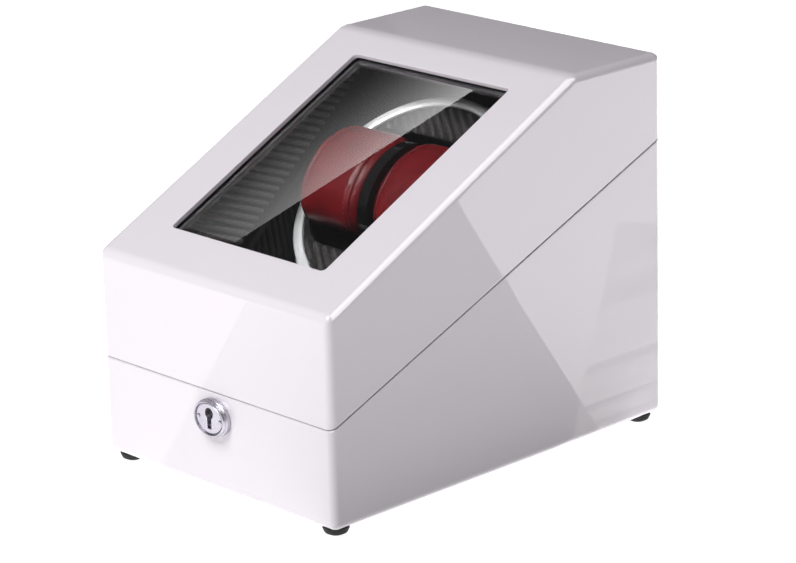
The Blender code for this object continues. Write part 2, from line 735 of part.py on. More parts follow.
def make_rear_cover(under):
    """A folded sheet that carries on from the deck's upper end to the back wall, with a cheek at each end."""
    sheet = 0.002
    top = table_point(0, DECK_UPPER_END, under)
    foot = table_point(0, -0.080, under)
    back_y = HALF_DEPTH - WALL - 0.0035
    shelf_back_y = 0.1000
    outline = [
        (foot.y, foot.z),
        (top.y, top.z),
        (shelf_back_y, top.z),
        (back_y, seam_height(back_y) + 0.0005),
        (back_y, seam_height(back_y) - 0.012),
        (foot.y + 0.004, foot.z - 0.001),
    ]
    cover = add_object("rear_cover", prism(outline, -DECK_HALF_WIDTH, DECK_HALF_WIDTH, "X"))
    fall = math.tan(TABLE_TILT)
    before = 0.03
    hollow = [
        (foot.y - before, foot.z - (before - 0.004) * fall),
        (top.y - 0.0040, top.z - 0.0004),
        (top.y - 0.0015, top.z - sheet),
        (shelf_back_y - 0.001, top.z - sheet),
        (back_y - sheet - 0.0005, seam_height(back_y) - 0.0005),
        (back_y - sheet - 0.0005, 0.10),
        (foot.y - before, 0.0),
    ]
    half_width = DECK_HALF_WIDTH - sheet
    cut(cover, prism(hollow, -half_width, half_width, "X"))
    finish_with(cover, "black_plastic")


def make_battens(under):
    """Wooden strips under the deck's long edges."""
    for side, sign in (("left", -1), ("right", 1)):
        near, far = sorted((sign * 0.0748, sign * (HALF_WIDTH - WALL - LINING - 2 * GAP)))
        outline = [(near, -0.160), (far, -0.160), (far, -0.083), (near, -0.083)]
        add_object(f"deck_batten_{side}", prism(outline, under - 0.009, under), "wood", TABLE_FRAME)


def make_turntable():
    """Rim, ribbed disc, cushion tub, divider, shaft and driven pulley."""
    rim_low = -RIM_HEIGHT
    crown = 0.0009  # how far the rim's top rises from its edges to its middle
    half_width = (RIM_OUTER - RIM_INNER) / 2
    rim_profile = [(RIM_INNER, rim_low), (RIM_OUTER, rim_low)]
    for across in (1.0, 0.92, 0.7, 0.35, -0.35, -0.7, -0.92, -1.0):
        rim_profile.append((RIM_INNER + half_width * (1 + across), -crown * across**4))
    rim = turned(rim_profile, 64)
    add_object("turntable_rim", rim, "silver_rim", TABLE_FRAME, smooth=True)

    plate = turned(disc_profile(RIM_INNER - GAP, rim_low, -DISC_SUNK), 64)
    disc = add_object("turntable_disc", plate, None, TABLE_FRAME)
    opening = rounded_rectangle(WELL_HALF_X, WELL_HALF_U, WELL_CORNER, 6)
    cut(disc, prism(opening, rim_low - 0.01, 0.01), TABLE_FRAME)
    finish_with(disc, "carbon_lining")

    flange_top = rim_low - GAP
    tub_low = WELL_FLOOR - TUB_SKIN
    flange = turned(disc_profile(RIM_OUTER - 2 * GAP, flange_top - TUB_SKIN, flange_top), 64)
    tub = add_object("cushion_tub", flange, None, TABLE_FRAME)
    outer_half_x = WELL_HALF_X + TUB_SKIN
    outer_half_u = WELL_HALF_U + TUB_SKIN
    outer = rounded_rectangle(outer_half_x, outer_half_u, WELL_CORNER + TUB_SKIN, 6)
    join(tub, prism(outer, tub_low, flange_top - TUB_SKIN * 0.5), TABLE_FRAME)
    cut(tub, prism(opening, WELL_FLOOR, 0.01), TABLE_FRAME)
    finish_with(tub, "gloss_black")

    arch_half = 0.031
    arch_top = 0.0255
    low = WELL_FLOOR + GAP
    spring = 0.004
    outline = [(-arch_half, low), (arch_half, low)]
    for a in range(0, 181, 12):
        angle = math.radians(a)
        outline.append((arch_half * math.cos(angle), spring + (arch_top - spring) * math.sin(angle)))
    bm = prism(outline, -DIVIDER_HALF + GAP, DIVIDER_HALF - GAP, "X")
    add_object("cushion_divider", bm, "gloss_black", TABLE_FRAME)

    shaft_top = tub_low - GAP
    shaft = turned(disc_profile(SHAFT_RADIUS, -0.0680, shaft_top), 24)
    add_object("turntable_shaft", shaft, "steel", TABLE_FRAME, smooth=True)
    pulley = turned(pulley_profile(SHAFT_RADIUS + GAP, DRIVEN_PITCH, shaft_top - 0.0002), 48)
    add_object("driven_pulley", pulley, "black_plastic", TABLE_FRAME, smooth=True)


def pulley_profile(bore, pitch, top):
    """A wheel with a round-bottomed belt groove at the belt's level."""
    low = BELT_LEVEL * 2 - top
    groove = BELT_RADIUS + 0.0004
    rim = pitch + 0.0012
    bottom = pitch - groove
    points = [(bore, low), (rim, low), (rim, BELT_LEVEL - groove - 0.0002)]
    points += [(pitch, BELT_LEVEL - groove), (bottom, BELT_LEVEL - groove * 0.4)]
    points += [(bottom, BELT_LEVEL + groove * 0.4), (pitch, BELT_LEVEL + groove)]
    points += [(rim, BELT_LEVEL + groove + 0.0002), (rim, top), (bore, top)]
    return points


def make_cushion(side, sign):
    """A stuffed oval cushion, rounded at both ends, pressed between the divider and the well's end."""
    near = DIVIDER_HALF + GAP
    far = WELL_HALF_X - GAP
    middle = (CUSHION_HIGH + CUSHION_LOW) / 2
    half_h = (CUSHION_HIGH - CUSHION_LOW) / 2
    rounding = 0.011
    smallest = 0.55
    stations = []
    steps = 4
    for i in range(steps + 1):
        angle = math.radians(90 * i / steps)
        scale = smallest + (1 - smallest) * math.sin(angle)
        stations.append((near + rounding * (1 - math.cos(angle)), scale))
    stations += [(near + far - x, scale) for x, scale in reversed(stations)]
    rings = []
    for x, scale in stations:
        ring = []
        for i in range(24):
            angle = math.tau * i / 24
            u = CUSHION_HALF_U * scale * math.cos(angle)
            h = middle + half_h * scale * math.sin(angle)
            ring.append((sign * x, u, h))
        rings.append(ring)
    add_object(f"cushion_{side}", loft(rings), "red_leather", TABLE_FRAME, smooth=True)


def make_drive():
    """Bearing, belt and geared motor on a bent steel frame that hangs from the deck."""
    plate_low = PLATE_TOP - PLATE_THICKNESS
    wide = FRAME_HALF_WIDTH
    inner = wide - FRAME_SHEET
    top = DECK_TOP - DECK_THICKNESS - GAP
    outline = [(-wide, plate_low), (wide, plate_low), (wide, top), (inner, top)]
    outline += [(inner, PLATE_TOP), (-inner, PLATE_TOP), (-inner, top), (-wide, top)]
    frame = add_object("drive_frame", prism(outline, -0.062, 0.048, "Y"), None, TABLE_FRAME)
    cut(frame, turned(disc_profile(0.0103, plate_low - 0.001, PLATE_TOP + 0.001), 32), TABLE_FRAME)
    cut(frame, turned(disc_profile(0.0108, plate_low - 0.001, PLATE_TOP + 0.001), 32), MOTOR_FRAME)
    finish_with(frame, "steel")

    housing_bore = 0.0073
    housing = [
        (housing_bore, plate_low),
        (0.0100, plate_low),
        (0.0100, PLATE_TOP + GAP),
        (0.0180, PLATE_TOP + GAP),
        (0.0180, PLATE_TOP + 0.0030),
        (0.0105, PLATE_TOP + 0.0030),
        (0.0105, -0.0380),
        (housing_bore, -0.0380),
    ]
    add_object("bearing_housing", turned(housing, 32), "black_plastic", TABLE_FRAME, smooth=True)
    for name, low, high in (("bush_front", -0.0465, -0.0383), ("bush_rear", -0.0640, -0.0558)):
        bush = turned(sleeve_profile(SHAFT_RADIUS + 0.0002, housing_bore - GAP, low, high), 24)
        add_object(name, bush, "brass", TABLE_FRAME, smooth=True)

    gearbox_top = -0.0430
    shaft_seat = -0.0500
    gearbox = [
        (0.0, PLATE_TOP + GAP),
        (0.0130, PLATE_TOP + GAP),
        (0.0130, gearbox_top),
        (0.0050, gearbox_top),
        (0.0050, gearbox_top + 0.002),
        (MOTOR_SHAFT_RADIUS + GAP, gearbox_top + 0.002),
        (MOTOR_SHAFT_RADIUS + GAP, shaft_seat),
        (0.0, shaft_seat),
    ]
    add_object("gearbox", turned(gearbox, 32), "steel", MOTOR_FRAME, smooth=True)
    motor = [
        (0.0, -0.0905),
        (0.0030, -0.0905),
        (0.0030, -0.0890),
        (0.0098, -0.0890),
        (0.0102, -0.0880),
        (0.0102, PLATE_TOP),
        (0.0, PLATE_TOP),
    ]
    add_object("motor", turned(motor, 32), "steel", MOTOR_FRAME, smooth=True)

    shaft = turned(disc_profile(MOTOR_SHAFT_RADIUS, shaft_seat + GAP, -0.0290), 16)
    add_object("motor_shaft", shaft, "steel", MOTOR_FRAME, smooth=True)
    pulley = turned(pulley_profile(MOTOR_SHAFT_RADIUS + GAP, DRIVE_PITCH, -0.0290), 32)
    add_object("motor_pulley", pulley, "black_plastic", MOTOR_FRAME, smooth=True)
    make_belt()


def make_belt():
    """An open belt: two arcs joined by their common outer tangents."""
    lean = math.degrees(math.asin((DRIVEN_PITCH - DRIVE_PITCH) / MOTOR_OFFSET))
    large = arc((0, 0), DRIVEN_PITCH, -lean, 180 + lean, 24)
    small = arc((0, -MOTOR_OFFSET), DRIVE_PITCH, 180 + lean, 360 - lean, 10)
    straight = []
    for first, second in ((large[-1], small[0]), (small[-1], large[0])):
        steps = 6
        straight.append(
            [
                tuple(a + (b - a) * i / steps for a, b in zip(first, second))
                for i in range(1, steps)
            ]
        )
    outline = large + straight[0] + small + straight[1]
    route = [Vector((x, u, BELT_LEVEL)) for x, u in outline]
    tube("drive_belt", route, BELT_RADIUS, "rubber", TABLE_FRAME, cyclic=True)


# ---------------------------------------------------------------- controls


def make_controls():
    """Recessed tray in the back wall with the supply socket, the mode knob and the power rocker."""
    flange = 0.004
    centre = (0, PANEL_HEIGHT)
    back = HALF_DEPTH
    floor_low = PANEL_FLOOR_Y - 0.0015
    outline = rounded_rectangle(PANEL_HALF_X + flange, PANEL_HALF_Z + flange, 0.005, 4, centre)
    tray = add_object("control_tray", prism(outline, back + GAP, back + 0.0015, "Y"))
    body = rounded_rectangle(PANEL_HALF_X + 0.002, PANEL_HALF_Z + 0.002, 0.003, 3, centre)
    join(tray, prism(body, floor_low, back + 0.001, "Y"))
    hollow = rounded_rectangle(PANEL_HALF_X, PANEL_HALF_Z, 0.0025, 3, centre)
    cut(tray, prism(hollow, PANEL_FLOOR_Y, back + 0.01, "Y"))
    for x, radius in ((KNOB_X, 0.0034), (JACK_X, 0.0044)):
        cut(tray, prism(arc((x, PANEL_HEIGHT), radius, 0, 345, 23), floor_low - 0.002, back, "Y"))
    switch_hole = rounded_rectangle(0.0067, 0.0098, 0.001, 2, (SWITCH_X, PANEL_HEIGHT))
    cut(tray, prism(switch_hole, floor_low - 0.002, back, "Y"))
    finish_with(tray, "black_plastic")

    knob_frame = Matrix.Translation((KNOB_X, PANEL_FLOOR_Y, PANEL_HEIGHT)) @ TOWARDS_BACK
    knob = [
        (0.0, -0.0100),
        (0.0029, -0.0100),
        (0.0029, 0.0006),
        (0.0072, 0.0006),
        (0.0070, 0.0082),
        (0.0062, 0.0090),
        (0.0, 0.0090),
    ]
    knob_object = add_object("mode_knob", turned(knob, 32), None, knob_frame)
    grips = 12
    for i in range(grips):
        turn = Matrix.Rotation(math.tau * (i + 0.5) / grips, 4, "Z")
        groove = turned(disc_profile(0.0006, 0.0014, 0.0120), 8)
        cut(knob_object, groove, knob_frame @ turn @ Matrix.Translation((0.0073, 0, 0)))
    cut(knob_object, block((-0.0004, -0.0068, 0.0086), (0.0004, -0.0028, 0.0120)), knob_frame)
    finish_with(knob_object, "black_plastic")

    selector_high = floor_low - GAP
    low = (KNOB_X - 0.007, 0.1068, PANEL_HEIGHT - 0.007)
    high = (KNOB_X + 0.007, selector_high, PANEL_HEIGHT + 0.007)
    selector = add_object("mode_selector", block(low, high))
    bore = prism(arc((KNOB_X, PANEL_HEIGHT), 0.0032, 0, 345, 23), 0.1112, selector_high + 0.01, "Y")
    cut(selector, bore)
    finish_with(selector, "black_plastic")

    jack_frame = Matrix.Translation((JACK_X, PANEL_FLOOR_Y, PANEL_HEIGHT)) @ TOWARDS_BACK
    jack = [
        (0.0, -0.0150),
        (0.0041, -0.0150),
        (0.0041, 0.0),
        (0.0052, GAP),
        (0.0052, 0.0012),
        (0.0032, 0.0012),
        (0.0032, -0.0110),
        (0.0010, -0.0110),
        (0.0010, -0.0015),
        (0.0, -0.0010),
    ]
    add_object("supply_socket", turned(jack, 24), "black_plastic", jack_frame, smooth=True)

    low = (SWITCH_X - 0.0064, 0.1090, PANEL_HEIGHT - 0.0095)
    high = (SWITCH_X + 0.0064, PANEL_FLOOR_Y - GAP, PANEL_HEIGHT + 0.0095)
    housing = add_object("switch_housing", block(low, high))
    bezel = rounded_rectangle(0.0078, 0.0110, 0.001, 2, (SWITCH_X, PANEL_HEIGHT))
    join(housing, prism(bezel, PANEL_FLOOR_Y + GAP, PANEL_FLOOR_Y + 0.0015, "Y"))
    neck = rounded_rectangle(0.0064, 0.0095, 0.001, 2, (SWITCH_X, PANEL_HEIGHT))
    join(housing, prism(neck, PANEL_FLOOR_Y - 0.001, PANEL_FLOOR_Y + 0.001, "Y"))
    low = (SWITCH_X - 0.0050, 0.1125, PANEL_HEIGHT - 0.0081)
    high = (SWITCH_X + 0.0050, 0.130, PANEL_HEIGHT + 0.0081)
    cut(housing, block(low, high))
    finish_with(housing, "black_plastic")

    rocker_axis = Matrix.Translation((SWITCH_X, PANEL_FLOOR_Y - 0.0030, PANEL_HEIGHT))
    rocker_frame = rocker_axis @ Matrix.Rotation(ROCKER_TILT, 4, "X")
    outline = [
        (-0.0010, -0.0074),
        (-0.0036, -0.0060),
        (-0.0036, 0.0060),
        (-0.0010, 0.0074),
        (0.0056, 0.0074),
        (0.0042, 0.0),
        (0.0056, -0.0074),
    ]
    rocker_bm = prism(outline, -0.0046, 0.0046, "X")
    add_object("power_rocker", rocker_bm, "gloss_black", rocker_frame)

    board = add_object("control_board", block((-0.034, 0.1048, 0.044), (0.0130, 0.1064, 0.094)))
    for low, high in (
        ((-0.030, 0.1020, 0.078), (-0.018, 0.1050, 0.090)),
        ((-0.012, 0.1025, 0.074), (-0.002, 0.1050, 0.084)),
        ((0.003, 0.0990, 0.078), (0.009, 0.1050, 0.088)),
    ):
        join(board, block(low, high))
    finish_with(board, "circuit_board")


def make_wires():
    """The motor's lead to the board, and the switch's lead to the board."""
    motor_end = MOTOR_FRAME @ Vector((0, 0, -0.0908))
    away = (MOTOR_FRAME.to_3x3() @ Vector((0, 0, -1))).normalized()
    points = [
        motor_end,
        motor_end + away * 0.006,
        Vector((-0.004, 0.0580, 0.0340)),
        Vector((-0.012, 0.0780, 0.0300)),
        Vector((-0.020, 0.0930, 0.0380)),
        Vector((-0.024, 0.0985, 0.0500)),
        Vector((-0.024, 0.1020, 0.0560)),
        Vector((-0.024, 0.1045, 0.0570)),
    ]
    tube("motor_lead", smooth_route(points, 5), 0.0011, "red_wire")
    points = [
        Vector((SWITCH_X, 0.1087, PANEL_HEIGHT)),
        Vector((SWITCH_X, 0.1050, PANEL_HEIGHT + 0.001)),
        Vector((SWITCH_X - 0.003, 0.0990, PANEL_HEIGHT + 0.004)),
        Vector((0.014, 0.0960, PANEL_HEIGHT + 0.005)),
        Vector((0.008, 0.0990, PANEL_HEIGHT + 0.004)),
        Vector((0.007, 0.1045, PANEL_HEIGHT + 0.003)),
    ]
    tube("switch_lead", smooth_route(points, 5), 0.0009, "red_wire")


# ---------------------------------------------------------------- assembly


def hang_on_hinge(pieces):
    """Parents the lid's pieces to an empty on the hinge axis."""
    hinge = bpy.data.objects.new("lid_hinge_axis", None)
    bpy.context.scene.collection.objects.link(hinge)
    hinge.location = HINGE_AXIS
    bpy.context.view_layer.update()
    for piece in pieces:
        piece.parent = hinge
        piece.matrix_parent_inverse = hinge.matrix_world.inverted()


def build():
    for old in list(bpy.data.objects):
        bpy.data.objects.remove(old)
    make_base_shell()
    lid_pieces = [make_lid_shell(), *make_window()]
    lid_pieces.append(make_linings())
    make_feet()
    make_bottom_cover()
    for side, centre in zip(("left", "right"), HINGE_CENTRES):
        lid_pieces.append(make_hinge(side, centre))
    make_lock_plate()
    make_lock_works()
    lid_pieces.append(make_keeper())
    make_deck()
    make_turntable()
    make_cushion("left", -1)
    make_cushion("right", 1)
    make_drive()
    make_controls()
    make_wires()
    hang_on_hinge(lid_pieces)


build()
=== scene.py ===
"""Looks for the watch winder box: lacquer, glass, carbon-look linings, stuffed cushions, fittings and studio.

Metres, in the CAD model's frame: +Z up, the front face looks along -Y, and z = 0 is under the feet.
"""

import json
import math

import bmesh
import bpy
from mathutils import Matrix, Vector
from mathutils import noise as simplex
from mathutils.bvhtree import BVHTree

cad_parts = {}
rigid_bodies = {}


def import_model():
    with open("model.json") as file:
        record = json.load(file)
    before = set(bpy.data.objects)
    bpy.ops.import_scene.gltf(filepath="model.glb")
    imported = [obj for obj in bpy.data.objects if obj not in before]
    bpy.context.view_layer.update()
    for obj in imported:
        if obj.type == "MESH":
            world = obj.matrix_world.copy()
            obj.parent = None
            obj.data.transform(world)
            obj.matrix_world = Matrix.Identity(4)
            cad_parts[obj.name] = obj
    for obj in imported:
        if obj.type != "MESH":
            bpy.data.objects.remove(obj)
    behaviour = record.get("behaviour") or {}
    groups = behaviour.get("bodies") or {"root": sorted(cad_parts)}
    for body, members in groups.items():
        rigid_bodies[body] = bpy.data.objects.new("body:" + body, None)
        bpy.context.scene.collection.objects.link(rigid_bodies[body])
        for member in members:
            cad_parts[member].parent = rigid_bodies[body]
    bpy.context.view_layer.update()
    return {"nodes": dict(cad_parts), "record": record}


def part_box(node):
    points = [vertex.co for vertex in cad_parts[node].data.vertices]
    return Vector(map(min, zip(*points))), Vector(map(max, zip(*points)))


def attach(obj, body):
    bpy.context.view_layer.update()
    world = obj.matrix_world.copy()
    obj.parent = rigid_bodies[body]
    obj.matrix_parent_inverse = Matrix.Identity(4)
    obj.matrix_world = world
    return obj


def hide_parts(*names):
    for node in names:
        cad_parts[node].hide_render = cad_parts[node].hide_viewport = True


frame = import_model()
NODES = frame["nodes"]

# ---------------------------------------------------------------- places, read from the frame

JOINTS = {joint["name"]: joint for joint in frame["record"]["behaviour"]["joints"]}
TABLE_CENTRE = Vector(JOINTS["turntable_spin"]["pos_m"])
TABLE_AXIS = Vector(JOINTS["turntable_spin"]["axis"])
TABLE_TILT = math.atan2(-TABLE_AXIS.y, TABLE_AXIS.z)
TABLE = Matrix.Translation(TABLE_CENTRE) @ Matrix.Rotation(TABLE_TILT, 4, "X")
UPRIGHT = Matrix.Identity(4)
TO_BACK = Matrix.Rotation(math.radians(-90), 4, "X")  # local z to +Y

MM = 0.001
MERGE_DISTANCE = 1e-6  # far below any real gap between two faces
ABOVE_FLOOR = 2.0 * MM  # the studio's cards and strips lie this far over the floor
NOISE_LOW, NOISE_HIGH = 0.35, 0.65  # most of a noise texture's values lie between these

# ---------------------------------------------------------------- mesh helpers


def new_piece(name, bm, material, place=UPRIGHT, smooth=35.0):
    """Links the bmesh as an object whose mesh is in the row frame, shaded smooth below that angle."""
    bm.transform(place)
    bmesh.ops.recalc_face_normals(bm, faces=bm.faces)
    mesh = bpy.data.meshes.new(name)
    bm.to_mesh(mesh)
    bm.free()
    mesh.shade_smooth()
    mesh.set_sharp_from_angle(angle=math.radians(smooth))
    piece = bpy.data.objects.new(name, mesh)
    bpy.context.scene.collection.objects.link(piece)
    piece.data.materials.append(material)
    return piece


def add_loft(bm, rings, capped=True):
    """Adds a skin through rings of equally many points, capped at both ends or joined end to end."""
    rows = [[bm.verts.new(point) for point in ring] for ring in rings]
    count = len(rows[0])
    pairs = list(zip(rows, rows[1:]))
    if not capped:
        pairs.append((rows[-1], rows[0]))
    for low, high in pairs:
        for i in range(count):
            j = (i + 1) % count
            bm.faces.new((low[i], low[j], high[j], high[i]))
    if capped:
        bm.faces.new(list(reversed(rows[0])))
        bm.faces.new(rows[-1])


def rectangle(x0, y0, x1, y1, z=0.0):
    """A bmesh with one upward face between two corners."""
    bm = bmesh.new()
    bm.faces.new([bm.verts.new((x, y, z)) for x, y in ((x0, y0), (x1, y0), (x1, y1), (x0, y1))])
    return bm


def smooth_cad(node, angle, weighted=False):
    """Shades a CAD node smooth below that angle, without touching its mesh."""
    group = bpy.data.node_groups.get("smooth_by_angle") or make_smoothing_group()
    modifier = node.modifiers.new("smooth", "NODES")
    modifier.node_group = group
    modifier[group.interface.items_tree["Angle"].identifier] = math.radians(angle)
    if weighted:
        normals = node.modifiers.new("flat faces", "WEIGHTED_NORMAL")
        normals.keep_sharp = True


def make_smoothing_group():
    """Geometry nodes that merge a faceted mesh's vertices and mark its sharp edges."""
    group = bpy.data.node_groups.new("smooth_by_angle", "GeometryNodeTree")
    group.interface.new_socket("Geometry", in_out="INPUT", socket_type="NodeSocketGeometry")
    group.interface.new_socket("Angle", in_out="INPUT", socket_type="NodeSocketFloat")
    group.interface.new_socket("Geometry", in_out="OUTPUT", socket_type="NodeSocketGeometry")
    nodes, links = group.nodes, group.links
    entry = nodes.new("NodeGroupInput")
    leave = nodes.new("NodeGroupOutput")
    merge = nodes.new("GeometryNodeMergeByDistance")
    merge.inputs["Distance"].default_value = MERGE_DISTANCE
    edge = nodes.new("GeometryNodeInputMeshEdgeAngle")
    flat_enough = nodes.new("FunctionNodeCompare")
    flat_enough.data_type = "FLOAT"
    flat_enough.operation = "LESS_EQUAL"
    faces = nodes.new("GeometryNodeSetShadeSmooth")
    faces.domain = "FACE"
    edges = nodes.new("GeometryNodeSetShadeSmooth")
    edges.domain = "EDGE"
    links.new(entry.outputs["Geometry"], merge.inputs["Geometry"])
    links.new(merge.outputs["Geometry"], faces.inputs["Geometry"])
    links.new(faces.outputs["Geometry"], edges.inputs["Geometry"])
    links.new(edge.outputs["Unsigned Angle"], flat_enough.inputs["A"])
    links.new(entry.outputs["Angle"], flat_enough.inputs["B"])
    links.new(flat_enough.outputs["Result"], edges.inputs["Shade Smooth"])
    links.new(edges.outputs["Geometry"], leave.inputs["Geometry"])
    return group


# ---------------------------------------------------------------- material helpers


class Finish:
    """A Principled material with short ways to add the nodes that vary it."""

    def __init__(self, name, colour, roughness, metallic=0.0, **sockets):
        self.material = bpy.data.materials.new(name)
        self.material.use_nodes = True
        self.tree = self.material.node_tree
        self.shader = self.tree.nodes["Principled BSDF"]
        self.set("Base Color", (*colour, 1.0))
        self.set("Roughness", roughness)
        self.set("Metallic", metallic)
        for socket, value in sockets.items():
            self.set(socket.replace("_", " "), value)
        self.place = self.tree.nodes.new("ShaderNodeTexCoord").outputs["Object"]

    def set(self, socket, value):
        self.shader.inputs[socket].default_value = value

    def link(self, output, socket):
        self.tree.links.new(output, self.shader.inputs[socket])

    def node(self, kind, **sockets):
        """A node with each named socket set to a value or linked to an output."""
        node = self.tree.nodes.new(kind)
        for socket, value in sockets.items():
            target = node.inputs[socket.replace("_", " ")]
            if isinstance(value, bpy.types.NodeSocket):
                self.tree.links.new(value, target)
            else:
                target.default_value = value
        return node

    def mapped(self, scale=(1, 1, 1), rotation=(0, 0, 0)):
        return self.node("ShaderNodeMapping", Vector=self.place, Scale=scale, Rotation=rotation).outputs[0]

    def noise(self, scale, detail=3.0, rough=0.5, vector=None):
        made = self.node("ShaderNodeTexNoise", Scale=scale, Detail=detail, Roughness=rough)
        self.tree.links.new(vector or self.place, made.inputs["Vector"])
        return made.outputs["Fac"]

    def ramp(self, value, low, high, start=NOISE_LOW, end=NOISE_HIGH):
        """value, between start and end, spread from low to high."""
        made = self.node(
            "ShaderNodeMapRange", Value=value, From_Min=start, From_Max=end, To_Min=low, To_Max=high
        )
        return made.outputs["Result"]

    def colours(self, value, *stops):
        """A colour ramp through (position, colour) stops."""
        made = self.node("ShaderNodeValToRGB", Fac=value)
        elements = made.color_ramp.elements
        while len(elements) < len(stops):
            elements.new(0.5)
        for element, (position, colour) in zip(elements, stops):
            element.position = position
            element.color = (*colour, 1.0)
        return made.outputs["Color"]

    def sum(self, first, second, operation="ADD"):
        made = self.node("ShaderNodeMath")
        made.operation = operation
        for value, target in ((first, made.inputs[0]), (second, made.inputs[1])):
            if isinstance(value, bpy.types.NodeSocket):
                self.tree.links.new(value, target)
            else:
                target.default_value = value
        return made.outputs[0]

    def bump(self, height, distance, strength=1.0, coat=False):
        made = self.node("ShaderNodeBump", Height=height, Distance=distance, Strength=strength)
        self.link(made.outputs["Normal"], "Normal")
        if coat:
            self.link(made.outputs["Normal"], "Coat Normal")


def shade(colour, factor):
    """The colour made lighter or darker by a factor."""
    return tuple(min(1.0, channel * factor) for channel in colour)


def wrap(colour, finish, scale, spread):
    """Varies the base colour by that share either way."""
    stops = (NOISE_LOW, shade(colour, 1 - spread)), (NOISE_HIGH, shade(colour, 1 + spread))
    finish.link(finish.colours(finish.noise(scale), *stops), "Base Color")


# ---------------------------------------------------------------- materials


def lacquer():
    """Sprayed and polished white: clear coat with a faint orange peel and a slight lavender cast."""
    colour = (0.735, 0.69, 0.74)
    made = Finish("piano_white_lacquer", colour, 0.4, Coat_Weight=1.0, Coat_Roughness=0.018, Coat_IOR=1.5)
    made.set("Specular IOR Level", 0.1)
    wrap(colour, made, 7.0, 0.006)
    made.link(made.ramp(made.noise(55.0, 4.0), 0.37, 0.43), "Roughness")
    made.bump(made.noise(260.0, 1.0, 0.3), 0.000006, 0.25, coat=True)
    return made.material


def window_glass():
    """Clear glass that also lets lamps through, with a faint uneven film.

    Its gloss is all in the coat, so its bevel mirrors the studio but hardly shifts what is seen through it.
    """
    made = Finish("window_glass", (0.97, 0.975, 0.975), 0.0, Transmission_Weight=1.0, IOR=1.03)
    made.set("Coat Weight", 1.0)
    made.set("Coat IOR", 1.5)
    made.link(made.ramp(made.noise(26.0, 5.0, 0.6), 0.0, 0.015, 0.5, 0.8), "Coat Roughness")
    tree = made.tree
    path = tree.nodes.new("ShaderNodeLightPath")
    clear = tree.nodes.new("ShaderNodeBsdfTransparent")
    clear.inputs["Color"].default_value = (0.94, 0.94, 0.94, 1.0)
    mix = tree.nodes.new("ShaderNodeMixShader")
    tree.links.new(path.outputs["Is Shadow Ray"], mix.inputs["Fac"])
    tree.links.new(made.shader.outputs["BSDF"], mix.inputs[1])
    tree.links.new(clear.outputs["BSDF"], mix.inputs[2])
    tree.links.new(mix.outputs["Shader"], tree.nodes["Material Output"].inputs["Surface"])
    return made.material


def moulded_plastic():
    """Moulded black plastic with a fine spark-eroded grain."""
    colour, rough = (0.014, 0.014, 0.015), 0.42
    made = Finish("moulded_black_plastic", colour, rough)
    wrap(colour, made, 45.0, 0.25)
    made.link(made.ramp(made.noise(90.0, 4.0), rough - 0.07, rough + 0.08), "Roughness")
    made.bump(made.noise(1500.0, 2.0, 0.7), 0.00006, 0.5)
    return made.material


def gloss_plastic():
    """Polished black panel with faint wipe marks in its gloss."""
    colour = (0.004, 0.004, 0.0045)
    made = Finish("polished_black_plastic", colour, 0.08, Coat_Weight=0.3, Coat_Roughness=0.03)
    wrap(colour, made, 14.0, 0.3)
    streaks = made.noise(40.0, 5.0, 0.6, made.mapped((1.0, 0.18, 1.0), (0, 0, 0.6)))
    made.link(made.ramp(streaks, 0.05, 0.16), "Roughness")
    made.bump(made.noise(160.0, 2.0), 0.00001, 0.4)
    return made.material


WAVE_PERIOD = math.tau / 20  # metres from band to band in a wave texture of scale 1
TOW_WIDTH = 2.2 * MM
IN_SIDE_WALL = (0, math.radians(90), 0)  # turns the tows into a side wall's plane
IN_DISC = (0, 0, 0)


def carbon(name, turn, dark, light, rough=0.34):
    """Carbon-look sheet: a fine twill of crossed tows under a clear skin. turn lays the tows in the sheet."""
    made = Finish(name, dark, rough, Coat_Weight=0.35, Coat_Roughness=0.2)
    turned_place = made.mapped(rotation=turn)
    tows = []
    for axis in ("X", "Y"):
        scale = WAVE_PERIOD / TOW_WIDTH
        wave = made.node("ShaderNodeTexWave", Vector=turned_place, Scale=scale, Distortion=0.0)
        wave.bands_direction = axis
        tows.append(wave.outputs["Fac"])
    twill = made.sum(*tows, "MULTIPLY")
    patchy = made.sum(made.sum(twill, 0.6, "MULTIPLY"), made.sum(made.noise(22.0, 3.0), 0.4, "MULTIPLY"))
    made.link(made.colours(patchy, (0.1, dark), (0.75, light)), "Base Color")
    made.link(made.ramp(twill, rough - 0.06, rough + 0.10, 0.0, 1.0), "Roughness")
    made.bump(twill, 0.00002, 0.3)
    return made.material


def silvered(name, colour, rough, grain=(1, 1, 1), scratch=0.00002):
    """Plated metal with fine polishing lines along the grain."""
    made = Finish(name, colour, rough, 1.0)
    lines = made.noise(700.0, 4.0, 0.65, made.mapped(grain))
    wrap(colour, made, 35.0, 0.05)
    made.link(made.ramp(lines, rough * 0.7, rough * 1.5), "Roughness")
    made.bump(lines, scratch, 0.4)
    return made.material


def ring_brushed(name, colour, rough):
    """Plated ring, brushed round the turntable's axis."""
    made = Finish(name, colour, rough, 0.45)
    centre = made.node("ShaderNodeVectorMath", Vector=made.place)
    centre.operation = "SUBTRACT"
    centre.inputs[1].default_value = TABLE_CENTRE
    flat = made.node("ShaderNodeMapping", Vector=centre.outputs[0], Rotation=(-TABLE_TILT, 0, 0))
    length = made.node("ShaderNodeVectorMath", Vector=flat.outputs[0])
    length.operation = "LENGTH"
    rings = made.node("ShaderNodeTexNoise", Scale=4200.0, Detail=3.0)
    rings.noise_dimensions = "1D"
    made.tree.links.new(length.outputs["Value"], rings.inputs["W"])
    wrap(colour, made, 25.0, 0.04)
    made.link(made.ramp(rings.outputs["Fac"], rough * 0.75, rough * 1.4), "Roughness")
    made.bump(rings.outputs["Fac"], 0.00002, 0.35)
    return made.material


